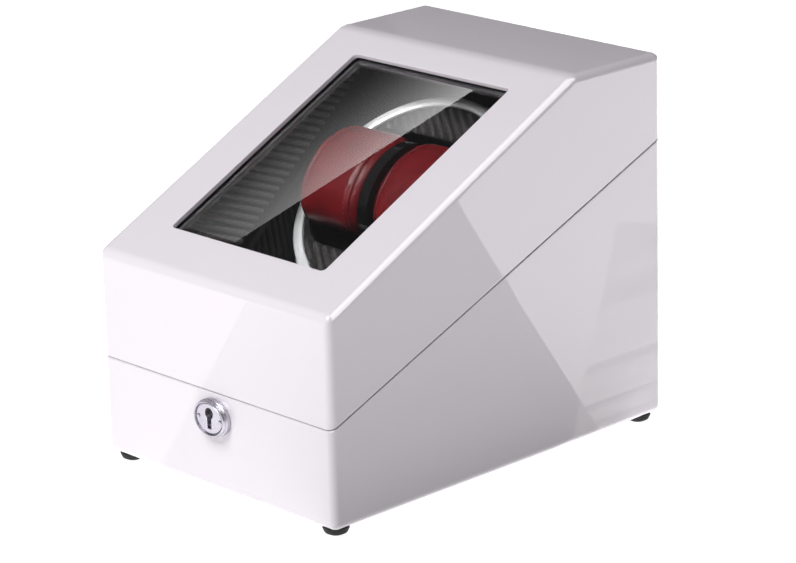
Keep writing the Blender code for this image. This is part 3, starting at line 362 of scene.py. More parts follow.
def leather():
    """Wine-red synthetic leather with a pebbled grain and painted shade in its creases."""
    colour = (0.085, 0.0015, 0.0035)
    made = Finish("red_synthetic_leather", colour, 0.38, Coat_Weight=0.12, Coat_Roughness=0.22)
    made.set("Specular IOR Level", 0.2)
    cells = made.node("ShaderNodeTexVoronoi", Vector=made.place, Scale=900.0)
    cells.feature = "DISTANCE_TO_EDGE"
    # painted shade: the colour darkens towards each pebble's edge, where the creases lie
    crease = made.ramp(cells.outputs["Distance"], 0.0, 1.0, 0.0, 0.12)
    drift = made.noise(40.0, 4.0)
    tone = made.sum(made.sum(crease, 0.25, "MULTIPLY"), made.sum(drift, 0.75, "MULTIPLY"))
    made.link(made.colours(tone, (0.2, shade(colour, 0.55)), (0.85, shade(colour, 1.25))), "Base Color")
    made.link(made.ramp(drift, 0.28, 0.42), "Roughness")
    made.bump(made.sum(crease, made.noise(2600.0, 2.0), "ADD"), 0.00005, 0.45)
    return made.material


def rubber():
    """Matt black rubber of the feet and the belt."""
    colour = (0.018, 0.018, 0.018)
    made = Finish("black_rubber", colour, 0.75)
    wrap(colour, made, 60.0, 0.3)
    made.link(made.ramp(made.noise(120.0), 0.62, 0.85), "Roughness")
    made.bump(made.noise(1100.0, 3.0, 0.7), 0.00008, 0.5)
    return made.material


def softwood():
    """Planed pale wood with an uneven grain."""
    colour = (0.42, 0.27, 0.14)
    made = Finish("softwood", colour, 0.6)
    grain = made.node(
        "ShaderNodeTexWave", Vector=made.mapped((1.0, 0.12, 0.12)), Scale=110.0, Distortion=5.0, Detail=3.0
    )
    tone = made.colours(grain.outputs["Fac"], (0.2, shade(colour, 0.7)), (0.8, shade(colour, 1.15)))
    made.link(tone, "Base Color")
    made.link(made.ramp(grain.outputs["Fac"], 0.5, 0.7, 0.0, 1.0), "Roughness")
    made.bump(grain.outputs["Fac"], 0.0001, 0.4)
    return made.material


BOARD_DEPTH = 1.55 * MM  # from the board's back to just under its face


def circuit_board():
    """Green mask with copper tracks showing through, and black chips in front of the board's face."""
    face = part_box("control_board")[1].y - BOARD_DEPTH
    made = Finish("circuit_board", (0.01, 0.12, 0.05), 0.35)
    upright = made.mapped(rotation=(math.radians(90), 0, 0))
    tracks = made.node("ShaderNodeTexBrick", Vector=upright, Scale=160.0)
    tracks.inputs["Mortar Size"].default_value = 0.03
    mask = made.colours(tracks.outputs["Fac"], (0.0, (0.008, 0.10, 0.04)), (1.0, (0.03, 0.22, 0.09)))
    y = made.node("ShaderNodeSeparateXYZ", Vector=made.place).outputs["Y"]
    proud = made.ramp(y, 1.0, 0.0, face - 0.2 * MM, face - 0.1 * MM)
    mix = made.node("ShaderNodeMix", Factor=proud)
    mix.data_type = "RGBA"
    made.tree.links.new(mask, mix.inputs["A"])
    mix.inputs["B"].default_value = (0.02, 0.02, 0.022, 1.0)
    made.link(mix.outputs["Result"], "Base Color")
    made.link(made.ramp(made.noise(200.0), 0.25, 0.45), "Roughness")
    made.bump(tracks.outputs["Fac"], 0.00004, 0.5)
    return made.material


def insulation():
    """Red plastic of the leads."""
    colour = (0.50, 0.015, 0.015)
    made = Finish("red_insulation", colour, 0.4)
    wrap(colour, made, 150.0, 0.12)
    made.link(made.ramp(made.noise(300.0), 0.3, 0.5), "Roughness")
    made.bump(made.noise(900.0), 0.00003, 0.4)
    return made.material


def sewing_thread():
    """Dark red waxed thread."""
    colour = (0.16, 0.008, 0.014)
    made = Finish("waxed_thread", colour, 0.5)
    wrap(colour, made, 900.0, 0.3)
    made.link(made.ramp(made.noise(1200.0), 0.4, 0.6), "Roughness")
    made.bump(made.noise(4000.0), 0.00003, 0.5)
    return made.material


def white_print():
    """White ink of the marks round the knob."""
    colour = (0.75, 0.75, 0.74)
    made = Finish("white_print", colour, 0.5)
    wrap(colour, made, 400.0, 0.08)
    made.link(made.ramp(made.noise(700.0), 0.4, 0.6), "Roughness")
    made.bump(made.noise(1500.0), 0.00001, 0.4)
    return made.material


SLOTS = {entry["node"]: entry["material_slot"] for entry in frame["record"]["subparts"]}
FINISHES = {
    "white_lacquer": lacquer(),
    "clear_glass": window_glass(),
    "black_plastic": moulded_plastic(),
    "gloss_black": gloss_plastic(),
    "carbon_lining": carbon("carbon_sheet", IN_SIDE_WALL, (0.006, 0.0055, 0.0055), (0.016, 0.0145, 0.015)),
    # the ribs are the lining's carbon painted much lighter: painted light on their lit tops, against the dark
    # sheet between them
    "ribs": carbon("carbon_ribs", IN_SIDE_WALL, (0.11, 0.105, 0.107), (0.21, 0.20, 0.205), 0.38),
    "disc_ribs": carbon("carbon_disc_ribs", IN_DISC, (0.020, 0.019, 0.019), (0.045, 0.042, 0.043), 0.38),
    "silver_rim": ring_brushed("silver_ring", (0.66, 0.66, 0.67), 0.36),
    "red_leather": leather(),
    "steel": silvered("zinc_plated_steel", (0.46, 0.46, 0.47), 0.34, (1, 0.08, 1)),
    "escutcheon": silvered("satin_nickel", (0.55, 0.53, 0.59), 0.30, (1, 1, 1), 0.00001),
    "blackened_steel": silvered("blackened_steel", (0.035, 0.035, 0.038), 0.45, (1, 1, 1)),
    "nickel": silvered("nickel_plate", (0.72, 0.71, 0.73), 0.16, (1, 1, 1), 0.00001),
    "brass": silvered("turned_brass", (0.75, 0.55, 0.25), 0.28, (0.1, 1, 1)),
    "rubber": rubber(),
    "batten_wood": softwood(),
    "circuit_board": circuit_board(),
    "red_wire": insulation(),
    "thread": sewing_thread(),
    "print": white_print(),
}

# nodes that look different from the rest of their slot
OWN_FINISH = {
    "lock_escutcheon": "escutcheon",
    "lock_pin_left": "escutcheon",
    "lock_pin_right": "escutcheon",
    "lock_case": "blackened_steel",
    "lock_rotor": "blackened_steel",
}


CAD_SMOOTHING = 32.0  # degrees
PANE_SMOOTHING = 4.0  # keeps the pane's bevel apart from its face


def dress_cad_nodes():
    """Gives every CAD node its finish and its smooth shading."""
    for name, node in NODES.items():
        node.data.materials.clear()
        node.data.materials.append(FINISHES[OWN_FINISH.get(name, SLOTS[name])])
        angle = PANE_SMOOTHING if name == "window_pane" else CAD_SMOOTHING
        smooth_cad(node, angle, weighted=name in ("base_shell", "lid_shell"))


# ---------------------------------------------------------------- ribbed sheets


RIB_SIDES = 7  # facets over a rib's rounded top
RIB_TAPER = ((0.0, 0.3), (0.5, 0.85), (1.0, 1.0))  # share of the taper passed, share of the full height
MOST_RIBS = 70  # to each side of the middle one


def half_planes(corners):
    """The half planes (normal, offset) that bound a convex outline given in either order."""
    middle = sum(corners, Vector((0, 0))) / len(corners)
    planes = []
    for first, second in zip(corners, corners[1:] + corners[:1]):
        along = second - first
        normal = Vector((-along.y, along.x)).normalized()
        if normal.dot(middle - first) < 0:
            normal = -normal
        planes.append((normal, normal.dot(first)))
    return planes


def clipped(start, direction, planes, margin):
    """The stretch of a line that keeps margin inside every half plane, as two distances, or None."""
    low, high = -1.0, 1.0
    for normal, offset in planes:
        slope = normal.dot(direction)
        room = normal.dot(start) - offset - margin
        if abs(slope) < 1e-9:
            if room < 0:
                return None
        elif slope > 0:
            low = max(low, -room / slope)
        else:
            high = min(high, -room / slope)
    return (low, high) if high > low else None


def add_rib(bm, place, start, end, width, height):
    """Adds one rounded bar lying on place's xy plane, with tapered ends."""
    along = (end - start).normalized()
    across = Vector((-along.y, along.x))
    taper = min(width, (end - start).length / 3)
    rings = [(start + along * (taper * share), scale) for share, scale in RIB_TAPER]
    rings += [(end - along * (taper * share), scale) for share, scale in reversed(RIB_TAPER)]
    rows = []
    for point, scale in rings:
        row = []
        for i in range(RIB_SIDES + 1):
            angle = math.pi * i / RIB_SIDES
            side = point + across * (math.cos(angle) * width / 2 * (0.6 + 0.4 * scale))
            row.append(place @ Vector((side.x, side.y, math.sin(angle) * height * scale)))
        rows.append(row)
    add_loft(bm, rows)


def add_ribs(bm, place, planes, angle, pitch, width, height, margin):
    """Fills a convex outline on place's xy plane with parallel ribs."""
    direction = Vector((math.cos(angle), math.sin(angle)))
    step = Vector((-direction.y, direction.x)) * pitch
    for i in range(-MOST_RIBS, MOST_RIBS + 1):
        span = clipped(step * i, direction, planes, margin)
        if span and span[1] - span[0] > width:
            add_rib(bm, place, step * i + direction * span[0], step * i + direction * span[1], width, height)


def hull(points):
    """Convex outline of flat points, in order."""
    ordered = sorted({(round(p.x, 5), round(p.y, 5)) for p in points})
    chains = []
    for chain_points in (ordered, ordered[::-1]):
        chain = []
        for x, y in chain_points:
            while len(chain) > 1:
                (ax, ay), (bx, by) = chain[-2:]
                if (bx - ax) * (y - ay) - (by - ay) * (x - ax) > 1e-9:
                    break
                chain.pop()
            chain.append((x, y))
        chains += chain[:-1]
    return [Vector(point) for point in chains]


def make_wall_ribs():
    """Raised ribs on the side linings, falling towards the back, above the deck only."""
    fall = math.radians(-20.4)
    pitch, width, height, margin = 4.8 * MM, 3.1 * MM, 1.1 * MM, 1.6 * MM
    above_deck = 1.5 * MM
    deck_normal = Vector((-math.sin(TABLE_TILT), math.cos(TABLE_TILT)))
    deck = (deck_normal, deck_normal.dot(Vector((TABLE_CENTRE.y, TABLE_CENTRE.z))) + above_deck)
    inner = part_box("base_lining_right")[0].x
    on_face = 0.1 * MM
    for side, sign in (("left", -1), ("right", 1)):
        # local x is +Y, local y is +Z and local z points from the wall into the box
        place = Matrix(((0, 0, -sign, sign * inner), (1, 0, 0, 0), (0, 1, 0, 0), (0, 0, 0, 1)))
        for node, body in (("lid_lining", "lid"), (f"base_lining_{side}", "base")):
            face = [
                Vector((vert.co.y, vert.co.z))
                for vert in NODES[node].data.vertices
                if abs(vert.co.x - sign * inner) < on_face
            ]
            planes = half_planes(hull(face)) + [deck]
            bm = bmesh.new()
            add_ribs(bm, place, planes, fall, pitch, width, height, margin)
            # the rib finish is painted lighter than the sheet, as painted light on the ribs
            piece = new_piece(f"{body}_wall_ribs_{side}", bm, FINISHES["ribs"], smooth=50)
            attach(piece, body)


def make_disc_ribs():
    """Raised ribs on the disc, between the cushion well and the rim."""
    lean = math.radians(-40.3)
    pitch, width, height = 4.8 * MM, 2.9 * MM, 0.6 * MM
    rim_radius, rim_margin = 64.6 * MM, 1.6 * MM
    ring = rim_radius - rim_margin
    half_x, half_u, corner = 57.6 * MM, 43.1 * MM, 25.0 * MM  # the rounded outline kept free round the well
    disc_depth = 2.0 * MM  # from the turntable's centre down to the disc's face
    face = TABLE @ Matrix.Translation((0, 0, -disc_depth))
    direction = Vector((math.cos(lean), math.sin(lean)))
    step = Vector((-direction.y, direction.x)) * pitch

    def free(point):
        over_x = max(abs(point.x) - (half_x - corner), 0)
        over_u = max(abs(point.y) - (half_u - corner), 0)
        return point.length < ring and math.hypot(over_x, over_u) > corner

    bm = bmesh.new()
    sample = 0.25 * MM
    reach = int(ring / sample) + 1
    most = 17
    for i in range(-most, most + 1):
        run = []
        for k in range(-reach, reach + 2):
            point = step * i + direction * (k * sample)
            if free(point):
                run.append(point)
                continue
            if len(run) * sample > width:
                add_rib(bm, face, run[0], run[-1], width, height)
            run = []
    piece = new_piece("disc_ribs", bm, FINISHES["disc_ribs"], smooth=50)
    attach(piece, "turntable")


# ---------------------------------------------------------------- cushions


# In the turntable's frame: x runs from the divider outwards, u across and h along the axis.
CUSHION_NEAR = 4.3 * MM
CUSHION_FAR = 56.2 * MM
CUSHION_HALF_U = 34.0 * MM
CUSHION_LOW = -18.5 * MM
CUSHION_HIGH = 28.5 * MM
CUSHION_MIDDLE = (CUSHION_LOW + CUSHION_HIGH) / 2
CUSHION_HALF_H = (CUSHION_HIGH - CUSHION_LOW) / 2
CUSHION_STEPS = 48  # points round its outline
PIPING_INSET = 7.0 * MM  # from each end of the cushion to its piped seam
PIPING_RADIUS = 0.75 * MM
PIPING_STEPS = 96
PIPING_SIDES = 10
STITCH_OFFSET = 2.4 * MM  # from the piping to the row of stitches
STITCH_STEPS = 132  # every other step has a stitch
STITCH_RADIUS = 0.17 * MM
STITCH_SIDES = 6
STITCH_SHAPE = ((0.1, 0.5, -0.5), (0.3, 1.0, 0.7), (0.7, 1.0, 0.7), (0.9, 0.5, -0.5))  # along, size, lift

VOXEL = 2.6 * MM
PRESSURE = 4.0
CLOTH_QUALITY = 6
CLOTH_FRAMES = 20
MOST_SWELL = 3.0 * MM

SEAM_PULL = 0.9 * MM  # how deep the leather pulls in at a seam
SEAM_REACH = 1.9 * MM
PUCKER = 0.35 * MM  # small folds that run out from a seam
PUCKER_REACH = 4.5 * MM
PUCKER_SCALE = 7.0
LUMP = 0.35 * MM  # unevenness of the filling
LUMP_SCALE = 55


def cushion_start(sign):
    """A slightly thin oval cushion in the turntable's frame, for the cloth to fill."""
    slack = 1.6 * MM
    half_h = CUSHION_HALF_H - slack
    half_u = CUSHION_HALF_U - slack
    near, far = CUSHION_NEAR + 0.5 * slack, CUSHION_FAR - 0.5 * slack
    rounding, smallest, steps = 9.0 * MM, 0.62, 5
    stations = []
    for i in range(steps + 1):
        angle = math.radians(90 * i / steps)
        scale = smallest + (1 - smallest) * math.sin(angle)
        stations.append((near + rounding * (1 - math.cos(angle)), scale))
    stations += [(near + far - x, scale) for x, scale in reversed(stations)]
    bm = bmesh.new()
    rings = []
    for x, scale in stations:
        ring = []
        for i in range(CUSHION_STEPS):
            angle = math.tau * i / CUSHION_STEPS
            u = half_u * scale * math.cos(angle)
            h = CUSHION_MIDDLE + half_h * scale * math.sin(angle)
            ring.append((sign * x, u, h))
        rings.append(ring)
    add_loft(bm, rings)
    bmesh.ops.recalc_face_normals(bm, faces=bm.faces)
    return bm


def apply_modifiers(piece):
    """Keeps the piece's evaluated mesh as its own."""
    bpy.context.view_layer.update()
    evaluated = piece.evaluated_get(bpy.context.evaluated_depsgraph_get())
    mesh = bpy.data.meshes.new_from_object(evaluated)
    piece.modifiers.clear()
    piece.data = mesh


def inflate(piece):
    """Fills the cushion by cloth simulation, and lets no point move further than MOST_SWELL."""
    remesh = piece.modifiers.new("remesh", "REMESH")
    remesh.mode = "VOXEL"
    remesh.voxel_size = VOXEL
    apply_modifiers(piece)
    start = [vert.co.copy() for vert in piece.data.vertices]
    cloth = piece.modifiers.new("cloth", "CLOTH")
    settings = cloth.settings
    settings.use_pressure = True
    settings.uniform_pressure_force = PRESSURE
    settings.effector_weights.gravity = 0.0
    settings.quality = CLOTH_QUALITY
    cloth.collision_settings.use_collision = False
    for frame_number in range(1, CLOTH_FRAMES + 1):
        bpy.context.scene.frame_set(frame_number)
    apply_modifiers(piece)
    bpy.context.scene.frame_set(1)
    for vert, before in zip(piece.data.vertices, start):
        moved = vert.co - before
        if moved.length > MOST_SWELL:
            vert.co = before + moved.normalized() * MOST_SWELL


def surface_ring(tree, x, steps):
    """Points round the cushion where the plane at x meets its skin, found from inside outwards."""
    ring = []
    for i in range(steps):
        angle = math.tau * i / steps
        outwards = Vector((0, math.cos(angle), math.sin(angle)))
        centre = Vector((x, 0, CUSHION_MIDDLE))
        hit = tree.ray_cast(centre, outwards)[0]
        ring.append(hit or centre + outwards * CUSHION_HALF_U)
    return ring


def make_cushion(side, sign):
    """A stuffed cushion that pulls in to a piped seam near each end, flat where it meets its neighbours."""
    piece = new_piece(f"stuffed_cushion_{side}", cushion_start(sign), FINISHES["red_leather"])
    inflate(piece)
    subdivide = piece.modifiers.new("subdivide", "SUBSURF")
    subdivide.levels = subdivide.render_levels = 1
    apply_modifiers(piece)

    seams = (CUSHION_NEAR + PIPING_INSET, CUSHION_FAR - PIPING_INSET)
    past_first_seam = seams[0] + 15 * MM
    for vert in piece.data.vertices:
        x = sign * vert.co.x
        radial = Vector((0, vert.co.y, vert.co.z - CUSHION_MIDDLE))
        angle = math.atan2(radial.z, radial.y)
        gap = min(abs(x - seam) for seam in seams)
        pull = SEAM_PULL * math.exp(-((gap / SEAM_REACH) ** 2))
        round_seam = (math.cos(angle) * PUCKER_SCALE, math.sin(angle) * PUCKER_SCALE)
        fold = simplex.noise(Vector((*round_seam, sign * 3.0 + (x > past_first_seam))))
        pucker = PUCKER * math.exp(-gap / PUCKER_REACH) * fold
        spot = Vector((vert.co.x * LUMP_SCALE, vert.co.y * LUMP_SCALE, vert.co.z * LUMP_SCALE))
        lump = LUMP * simplex.noise(spot)
        if radial.length > 1.0 * MM:
            vert.co += radial.normalized() * (pucker + lump - pull)
        # flat against the divider and the well's end, and inside its own oval
        x = min(max(sign * vert.co.x, CUSHION_NEAR - 0.1 * MM), CUSHION_FAR + 0.1 * MM)
        vert.co.x = sign * x
        share_u = vert.co.y / (CUSHION_HALF_U + 0.6 * MM)
        share_h = (vert.co.z - CUSHION_MIDDLE) / (CUSHION_HALF_H + 0.3 * MM)
        spread = math.hypot(share_u, share_h)
        if spread > 1:
            vert.co.y /= spread
            vert.co.z = CUSHION_MIDDLE + (vert.co.z - CUSHION_MIDDLE) / spread

    tree = BVHTree.FromPolygons(
        [vert.co.copy() for vert in piece.data.vertices],
        [tuple(polygon.vertices) for polygon in piece.data.polygons],
    )
    piping = bmesh.new()
    thread = bmesh.new()
    for seam in seams:
        inward = 1 if seam == seams[0] else -1
        add_ring_tube(piping, surface_ring(tree, sign * seam, PIPING_STEPS), PIPING_RADIUS, PIPING_SIDES)
        add_stitches(thread, surface_ring(tree, sign * (seam + inward * STITCH_OFFSET), STITCH_STEPS))
    piece.data.transform(TABLE)
    piece.data.materials.clear()
    piece.data.materials.append(FINISHES["red_leather"])
    piece.data.shade_smooth()
    body = f"{side}_cushion"
    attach(piece, body)
    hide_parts(f"cushion_{side}")
    for piece_name, bm, material in (
        (f"cushion_piping_{side}", piping, FINISHES["red_leather"]),
        (f"cushion_stitches_{side}", thread, FINISHES["thread"]),
    ):
        extra = new_piece(piece_name, bm, material, TABLE, smooth=60)
        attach(extra, body)


def add_ring_tube(bm, ring, radius, sides):
    """Adds a round tube along a closed ring of points."""
    rows = []
    count = len(ring)
    for i, point in enumerate(ring):
        along = (ring[(i + 1) % count] - ring[i - 1]).normalized()
        side = Vector((1, 0, 0))
        side = (side - side.project(along)).normalized()
        out = along.cross(side)
        row = []
        for k in range(sides):
            angle = math.tau * k / sides
            row.append(point + side * (radius * math.cos(angle)) + out * (radius * math.sin(angle)))
        rows.append(row)
    add_loft(bm, rows, capped=False)


def add_stitches(bm, ring):
    """Adds a row of short threads along a ring, each standing half out of the leather."""
    turns = [math.tau * k / STITCH_SIDES for k in range(STITCH_SIDES)]
    count = len(ring)
    for i in range(0, count, 2):
        first, last = ring[i], ring[(i + 1) % count]
        along = (last - first).normalized()
        out = Vector((0, first.y, first.z - CUSHION_MIDDLE)).normalized()
        side = along.cross(out).normalized()
        rows = []
        for distance, size, lift in STITCH_SHAPE:
            point = first.lerp(last, distance) + out * (STITCH_RADIUS * lift)
            reach = STITCH_RADIUS * size
            row = []
            for turn in turns:
                row.append(point + side * (reach * math.cos(turn)) + out * (reach * math.sin(turn)))
            rows.append(row)
        add_loft(bm, rows)


# ---------------------------------------------------------------- small fittings


def make_hinge_screws():
    """Countersunk cross-head screws in the hinge leaves, four on each part of the case."""
    aside, away = 9.0 * MM, 9.0 * MM  # from the leaf's middle, and from the hinge's axis
    radius = 1.3 * MM
    axis = Vector(JOINTS["lid_hinge"]["pos_m"])
    for body, direction in (("base", -1), ("lid", 1)):
        bm = bmesh.new()
        for side in ("left", "right"):
            low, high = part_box(f"hinge_{body}_leaf_{side}")
            middle = (low.x + high.x) / 2
            for offset in (-aside, aside):
                spot = Vector((middle + offset, leaf_face(side, body), axis.z + direction * away))
                add_screw_head(bm, Matrix.Translation(spot) @ TO_BACK, radius)
        piece = new_piece(f"hinge_screws_{body}", bm, FINISHES["steel"], smooth=30)
        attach(piece, body)


def leaf_face(side, body):
    """The y of a hinge leaf's outer face, which is its widest flat one."""
    heights = {}
    for polygon in NODES[f"hinge_{body}_leaf_{side}"].data.polygons:
        if polygon.normal.y > 0.99:
            key = round(polygon.center.y, 5)
            heights[key] = heights.get(key, 0.0) + polygon.area
    return max(heights, key=heights.get)


def add_screw_head(bm, place, radius):
    """Adds a countersunk head with a cross recess, its face at place's origin and its axis along z."""
    depth = 0.9 * MM
    recess = 0.55 * MM
    half = 0.22 * radius
    reach = 0.72 * radius
    chamfer = 0.12 * MM
    cross = []
    for quarter in range(4):
        turn = Matrix.Rotation(math.radians(90) * quarter, 2)
        for x, y in ((half, half), (half, reach), (-half, reach)):
            cross.append(turn @ Vector((x, y)))
    angles = [math.atan2(point.y, point.x) for point in cross]
    rim = [Vector((radius * math.cos(angle), radius * math.sin(angle))) for angle in angles]
    rows = [
        [place @ Vector((p.x * 0.5, p.y * 0.5, -depth)) for p in rim],
        [place @ Vector((p.x, p.y, -chamfer)) for p in rim],
        [place @ Vector((p.x * 0.97, p.y * 0.97, 0)) for p in rim],
        [place @ Vector((p.x, p.y, 0)) for p in cross],
        [place @ Vector((p.x * 0.8, p.y * 0.8, -recess)) for p in cross],
    ]
    add_loft(bm, rows)


def make_knob_ticks():
    """Five small printed dashes round the mode knob."""
    knob = Vector(JOINTS["mode_knob_turn"]["pos_m"])
    inner, outer, half = 9.3 * MM, 11.2 * MM, 0.3 * MM
    thickness, bevel = 0.05 * MM, 0.04 * MM
    bm = bmesh.new()
    for turn in (-135, -67.5, 0, 67.5, 135):
        angle = math.radians(90 + turn)
        out = Vector((math.cos(angle), math.sin(angle)))
        across = Vector((-out.y, out.x)) * half
        rows = []
        for level, inset in ((0.0, 0.0), (thickness, bevel)):
            row = []
            for distance, sign in ((inner, 1), (inner, -1), (outer, -1), (outer, 1)):
                point = out * distance + across * (sign * (1 - inset / half))
                row.append(Vector((knob.x + point.x, knob.y + level, knob.z + point.y)))
            rows.append(row)
        add_loft(bm, rows)
    piece = new_piece("knob_ticks", bm, FINISHES["print"], smooth=30)
    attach(piece, "base")


# ---------------------------------------------------------------- studio


def add_camera():
    """A long lens from the front right, a little above the box."""
    azimuth, elevation, roll = (math.radians(angle) for angle in (46.56, 17.62, -1.50))
    distance = 1.940
    target = Vector((0.0055, 0.0058, 0.0949))
    back = Vector(
        (
            math.sin(azimuth) * math.cos(elevation),
            -math.cos(azimuth) * math.cos(elevation),
            math.sin(elevation),
        )
    )
    right = (-back).cross(Vector((0, 0, 1))).normalized()
    up = right.cross(-back)
    rolled_right = math.cos(roll) * right + math.sin(roll) * up
    rolled_up = math.cos(roll) * up - math.sin(roll) * right
    data = bpy.data.cameras.new("camera")
    data.sensor_width = 36.0
    data.lens = 154.2
    camera = bpy.data.objects.new("camera", data)
    bpy.context.scene.collection.objects.link(camera)
    turn = Matrix((rolled_right, rolled_up, back)).transposed().to_4x4()
    camera.matrix_world = Matrix.Translation(target + back * distance) @ turn
    data.clip_start = 0.05
    data.clip_end = 50.0
    bpy.context.scene.camera = camera


def add_floor():
    """A plain pale floor that glows a little, as a lit sweep does."""
    made = Finish("pale_floor", (0.5, 0.5, 0.5), 0.6, Emission_Strength=0.94, Specular_IOR_Level=0.1)
    made.set("Emission Color", (1.0, 1.0, 1.0, 1.0))
    wrap((0.5, 0.5, 0.505), made, 3.0, 0.008)
    half = 8.0
    new_piece("floor", rectangle(-half, -half, half, half), made.material)


SOFTBOX_AIM = Vector((0, -0.03, 0.14))  # about the middle of the box
WINDOW_MIDDLE = Vector((0, -0.03, 0.17))


def add_softbox(name, place, size, radiance):
    """A square lamp, size metres wide, that points at the box and that the camera doesn't see."""
    data = bpy.data.lights.new(name, "AREA")
    data.shape = "RECTANGLE"
    data.size = data.size_y = size
    data.energy = radiance * math.pi * size * size
    light = bpy.data.objects.new(name, data)
    bpy.context.scene.collection.objects.link(light)
    out = (Vector(place) - SOFTBOX_AIM).normalized()
    side = Vector((1, 0, 0))
    side = (side - side.project(out)).normalized()
    turn = Matrix((side, out.cross(side), out)).transposed().to_4x4()
    light.matrix_world = Matrix.Translation(place) @ turn
    light.visible_camera = False
    return light


def mirrored(point, normal, distance):
    """Where the camera's view of point goes when a face with that normal reflects it."""
    ray = (point - bpy.context.scene.camera.matrix_world.translation).normalized()
    ray = ray - 2 * ray.dot(normal) * normal
    return point + ray * distance


def on_floor(point, normal):
    """Where that reflected view meets the floor."""
    first = mirrored(point, normal, 0.0)
    ray = mirrored(point, normal, 1.0) - first
    return first - ray * (first.z / ray.z)


def add_card(
    name, first, second, size, facing, radiance, colour=(1.0, 1.0, 1.0), fade=0.0, rest=1.0, end=1.0
):
    """A glowing card seen only in gloss.

    One edge runs along first to second, and the card reaches to the left of that direction, as seen from the
    side that it faces. With a fade, the glow falls to rest over fade metres from that edge, and to end from
    first to second. Without one it is even.
    """
    out = Vector(facing).normalized()
    along = (second - first).normalized()
    across = out.cross(along)
    place = Matrix((along, across, out)).transposed().to_4x4()
    place.translation = first - along * (size / 2) + Vector((0, 0, ABOVE_FLOOR))
    made = glow_only(name, colour)
    if fade:
        split = made.node("ShaderNodeSeparateXYZ", Vector=made.place)
        left = made.ramp(split.outputs["Y"], 1.0, 0.0, 0.0, fade)
        glow = made.ramp(made.sum(left, left, "MULTIPLY"), radiance * rest, radiance, 0.0, 1.0)
        length = (second - first).length
        share = made.ramp(split.outputs["X"], 1.0, end, size / 2, size / 2 + length)
        made.link(made.sum(glow, share, "MULTIPLY"), "Emission Strength")
    else:
        made.link(made.ramp(made.noise(2.0, 1.0), radiance * 0.98, radiance * 1.02), "Emission Strength")
    card = new_piece(name, rectangle(0, 0, size, size), made.material)
    card.matrix_world = place
    seen_only_in_gloss(card)
    return card


def add_far_card(name, directions, distance, width, radiance):
    """A glowing strip seen only in gloss, width metres wide, that spans two directions from the window."""
    first, last = (WINDOW_MIDDLE + Vector(direction).normalized() * distance for direction in directions)
    middle = (first + last) / 2
    out = (WINDOW_MIDDLE - middle).normalized()
    along = last - first
    half = along.length / 2 + width / 2
    along.normalize()
    place = Matrix((along, out.cross(along), out)).transposed().to_4x4()
    made = glow_only(name)
    made.link(made.ramp(made.noise(2.0, 1.0), radiance * 0.95, radiance * 1.05), "Emission Strength")
    card = new_piece(name, rectangle(-half, -width / 2, half, width / 2), made.material)
    card.matrix_world = Matrix.Translation(middle) @ place
    seen_only_in_gloss(card)
    return card


def add_shade_strip():
    """A grey strip on the floor along the right side, seen only by diffuse light, to shade its foot."""
    made = Finish("shade_strip", (0.02, 0.02, 0.02), 0.9, Specular_IOR_Level=0.0)
    made.set("Emission Color", (1.0, 1.0, 1.0, 1.0))
    made.link(made.ramp(made.noise(3.0, 1.0), 0.46, 0.48), "Emission Strength")
    strip = new_piece("shade_strip", rectangle(0.097, -0.62, 0.195, 0.10, ABOVE_FLOOR), made.material)
    for seen in ("visible_camera", "visible_glossy", "visible_shadow", "visible_transmission"):
        setattr(strip, seen, False)


def glow_only(name, colour=(1.0, 1.0, 1.0)):
    """A finish that adds its glow to whatever lies behind it."""
    made = Finish(name, (0.0, 0.0, 0.0), 1.0, Specular_IOR_Level=0.0)
    made.set("Emission Color", (*colour, 1.0))
    clear = made.tree.nodes.new("ShaderNodeBsdfTransparent")
    total = made.tree.nodes.new("ShaderNodeAddShader")
    made.tree.links.new(made.shader.outputs["BSDF"], total.inputs[0])
    made.tree.links.new(clear.outputs["BSDF"], total.inputs[1])
    made.tree.links.new(total.outputs["Shader"], made.tree.nodes["Material Output"].inputs["Surface"])
    made.material.cycles.emission_sampling = "NONE"
    return made


def seen_only_in_gloss(card):
    """Hides a card from everything but reflections."""
    for seen in ("visible_camera", "visible_diffuse", "visible_shadow", "visible_transmission"):
        setattr(card, seen, False)


def light_only(light, pieces):
    """Lets that lamp or card light those pieces alone."""
    lit = bpy.data.collections.new(f"lit_by_{light.name}")
    for piece in pieces:
        lit.objects.link(piece)
    light.light_linking.receiver_collection = lit


def add_inside_fill():
    """A lamp from the right that lights only the ribs, linings, cushions and rim behind the window."""
    fill = add_softbox("inside_fill", (0.75, -0.45, 1.0), 0.3, 24.0)
    slots = ("carbon_lining", "silver_rim", "red_leather")
    inside = {node for name, node in NODES.items() if SLOTS[name] in slots}
    for piece in bpy.context.scene.objects:
        if "ribs" in piece.name or "cushion" in piece.name:
            inside.add(piece)
    light_only(fill, sorted(inside, key=lambda piece: piece.name))


def add_flag(place, facing, size):
    """A black board that only gloss sees, so that the window stays clear and dark."""
    made = Finish("black_flag", (0.01, 0.01, 0.01), 0.9, Specular_IOR_Level=0.0)
    wrap((0.01, 0.01, 0.01), made, 3.0, 0.1)
    half = size / 2
    placed = Matrix.Translation(place) @ Vector(facing).to_track_quat("Z", "Y").to_matrix().to_4x4()
    seen_only_in_gloss(new_piece("black_flag", rectangle(-half, -half, half, half), made.material, placed))


RIGHT_FACE = 0.095
FRONT_FACE = -0.13
SIDE_NORMAL = Vector((1, 0, 0))
FRONT_NORMAL = Vector((0, -1, 0))
SLOPE_NORMAL = Vector((0, -0.4491, 0.8935))
UP = (0, 0, 1)
WINDOW_CARD_REACH = 1.2  # metres from the window along the mirrored view
FLAG_REACH = 1.6


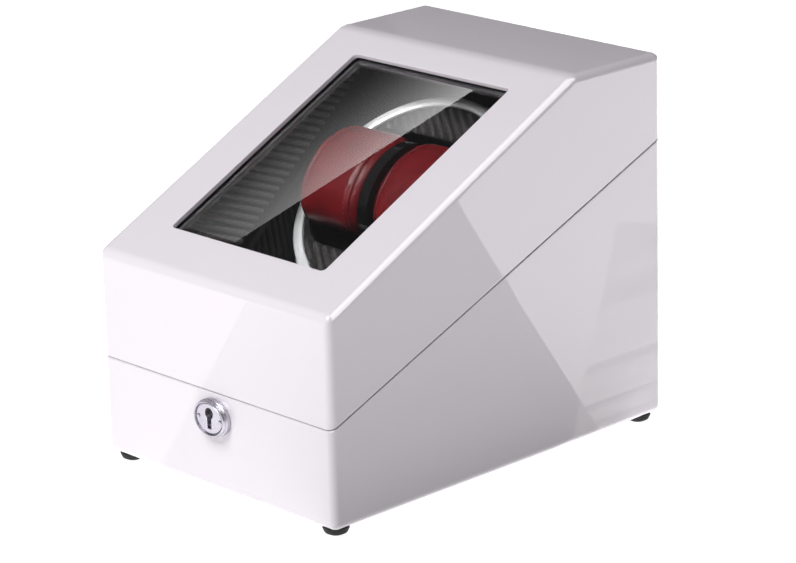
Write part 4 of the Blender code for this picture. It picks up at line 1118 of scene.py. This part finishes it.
def add_lights():
    """The studio: a key, a fill for the inside, and the cards whose reflections lie on lacquer and glass."""
    world = bpy.data.worlds.new("studio")
    world.use_nodes = True
    background = world.node_tree.nodes["Background"]
    background.inputs["Color"].default_value = (0.97, 0.97, 1.0, 1.0)
    background.inputs["Strength"].default_value = 0.10
    bpy.context.scene.world = world
    add_softbox("key", (-0.05, -0.74, 1.06), 0.6, 12.3)
    add_inside_fill()

    shells = [NODES["base_shell"], NODES["lid_shell"]]
    pane = [NODES["window_pane"]]

    # each edge is given by two points on the face where its reflection lies
    first = on_floor(Vector((RIGHT_FACE, 0.0780, 0.0040)), SIDE_NORMAL)
    second = on_floor(Vector((RIGHT_FACE, -0.0368, 0.1704)), SIDE_NORMAL)
    light_only(add_card("side_card", first, second, 2.0, UP, 2.4), shells)

    first = on_floor(Vector((0.0317, FRONT_FACE, 0.1207)), FRONT_NORMAL)
    second = on_floor(Vector((-0.0496, FRONT_FACE, 0.0050)), FRONT_NORMAL)
    tint = (1.0, 0.98, 0.97)
    front_card = add_card("front_card", first, second, 2.0, UP, 0.85, tint, fade=0.25, rest=0.0)
    light_only(front_card, shells)

    first = mirrored(Vector((0.0367, 0.0434, 0.2092)), SLOPE_NORMAL, WINDOW_CARD_REACH)
    second = mirrored(Vector((-0.0179, -0.0999, 0.1371)), SLOPE_NORMAL, WINDOW_CARD_REACH)
    to_window = Vector((0, 0, 0.15)) - second
    window_card = add_card("window_card", first, second, 1.4, to_window, 4.6, fade=0.07, rest=0.03, end=0.24)
    light_only(window_card, pane)
    add_flag(mirrored(WINDOW_MIDDLE, SLOPE_NORMAL, FLAG_REACH), to_window, 2.4)

    edge_card = add_far_card("edge_card", ((0.25, 0.05, 0.95), (0.75, 0.30, 0.55)), 1.6, 1.0, 7.0)
    light_only(edge_card, shells)
    bevel_directions = ((-0.692, 0.364, 0.619), (-0.831, 0.253, 0.497))
    light_only(add_far_card("bevel_card", bevel_directions, 1.1, 0.20, 3.0), pane)
    add_shade_strip()


scene = bpy.context.scene
scene.view_settings.view_transform = "Standard"
scene.view_settings.look = "None"

dress_cad_nodes()
make_wall_ribs()
make_disc_ribs()
make_cushion("left", -1)
make_cushion("right", 1)
make_hinge_screws()
make_knob_ticks()
add_camera()
add_floor()
add_lights()
